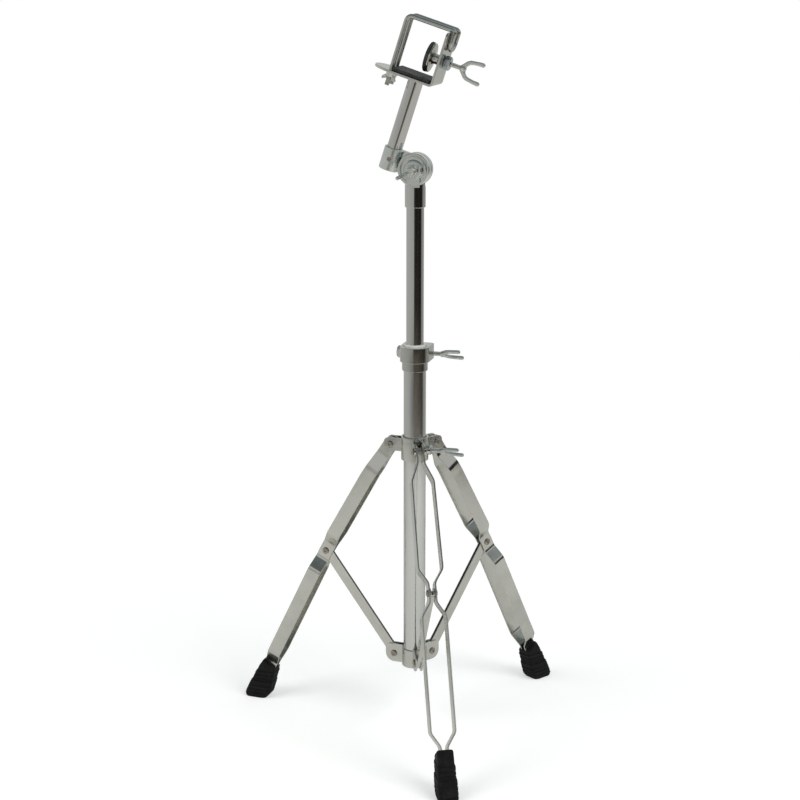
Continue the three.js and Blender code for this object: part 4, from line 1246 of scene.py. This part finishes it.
def by_height(low, high, below, above):
    """Blends two tones between two heights of the direction that is looked in."""
    height_share = add_node(
        room_tree, "MapRange", {"Value": parts.outputs["Z"], "From Min": low, "From Max": high})
    blend = add_node(room_tree, "Mix", data_type="RGBA")
    room_tree.links.new(height_share.outputs["Result"], blend.inputs["Factor"])
    for tone, socket in ((below, blend.inputs["A"]), (above, blend.inputs["B"])):
        if isinstance(tone, tuple):
            socket.default_value = tone
        else:
            room_tree.links.new(tone, socket)
    return blend.outputs["Result"]


overhead = wall_band([
    (-180, (0.30, 0.34, 0.35)), (-60, (0.14, 0.17, 0.175)), (60, (0.11, 0.135, 0.14)),
    (85, (0.38, 0.46, 0.48)), (120, (0.42, 0.50, 0.52)), (180, (0.30, 0.34, 0.35))])
ground_tone, upper_tone = (0.56, 0.55, 0.52, 1), (0.62, 0.64, 0.64, 1)
lower_walls = by_height(-0.32, -0.285, ground_tone, knee_level)
all_walls = by_height(-0.235, -0.2, lower_walls, eye_level)
below_ceiling = by_height(0.12, 0.3, all_walls, upper_tone)
room_tone = by_height(0.38, 0.54, below_ceiling, overhead)
seen = add_node(room_tree, "Background", {"Color": (1, 1, 1, 1)})
around = add_node(room_tree, "Background", {"Color": room_tone})
to_camera = add_node(room_tree, "LightPath").outputs["Is Camera Ray"]
choose = add_node(room_tree, "MixShader", {
    "Fac": to_camera, 1: around.outputs["Background"], 2: seen.outputs["Background"]})
add_node(room_tree, "OutputWorld", {"Surface": choose.outputs["Shader"]})


# Lamps.
# Two large soft lamps, one above on the left and one on the right, that give the rubber its shape and the
# floor its light.
lamp_aim = Vector((0, 0, 0.4))
for name, place, size, power in (
        ("left_softbox", (-1.6, -1.4, 2.4), 1.8, 38), ("right_softbox", (1.8, -0.9, 2.0), 1.4, 38)):
    lamp_data = bpy.data.lights.new(name, "AREA")
    lamp_data.shape = "SQUARE"
    lamp_data.size = size
    lamp_data.energy = power
    lamp = bpy.data.objects.new(name, lamp_data)
    scene.collection.objects.link(lamp)
    lamp.location = Vector(place) + tube_axis
    lamp.rotation_euler = (tube_axis + lamp_aim - lamp.location).to_track_quat("-Z", "Y").to_euler()
    lamp.visible_glossy = False


# Camera.
# At the photograph's angle: a little to the right of the tilter's axis and above the head, looking down.
camera_data = bpy.data.cameras.new("photo_camera")
camera_data.lens = 76.5
camera_data.sensor_width = 36
camera = bpy.data.objects.new("photo_camera", camera_data)
scene.collection.objects.link(camera)
camera_distance = 2.103
camera_height = 0.9696
camera_pitch = 0.247
camera_aside = 0.009
away = Vector((math.sin(camera_turn), -math.cos(camera_turn), 0)) * camera_distance
camera.location = tube_axis + away + Vector((0, 0, camera_height))
camera.rotation_euler = (math.radians(90) - camera_pitch, 0, camera_turn + camera_aside)
scene.camera = camera
scene.view_settings.view_transform = "Standard"
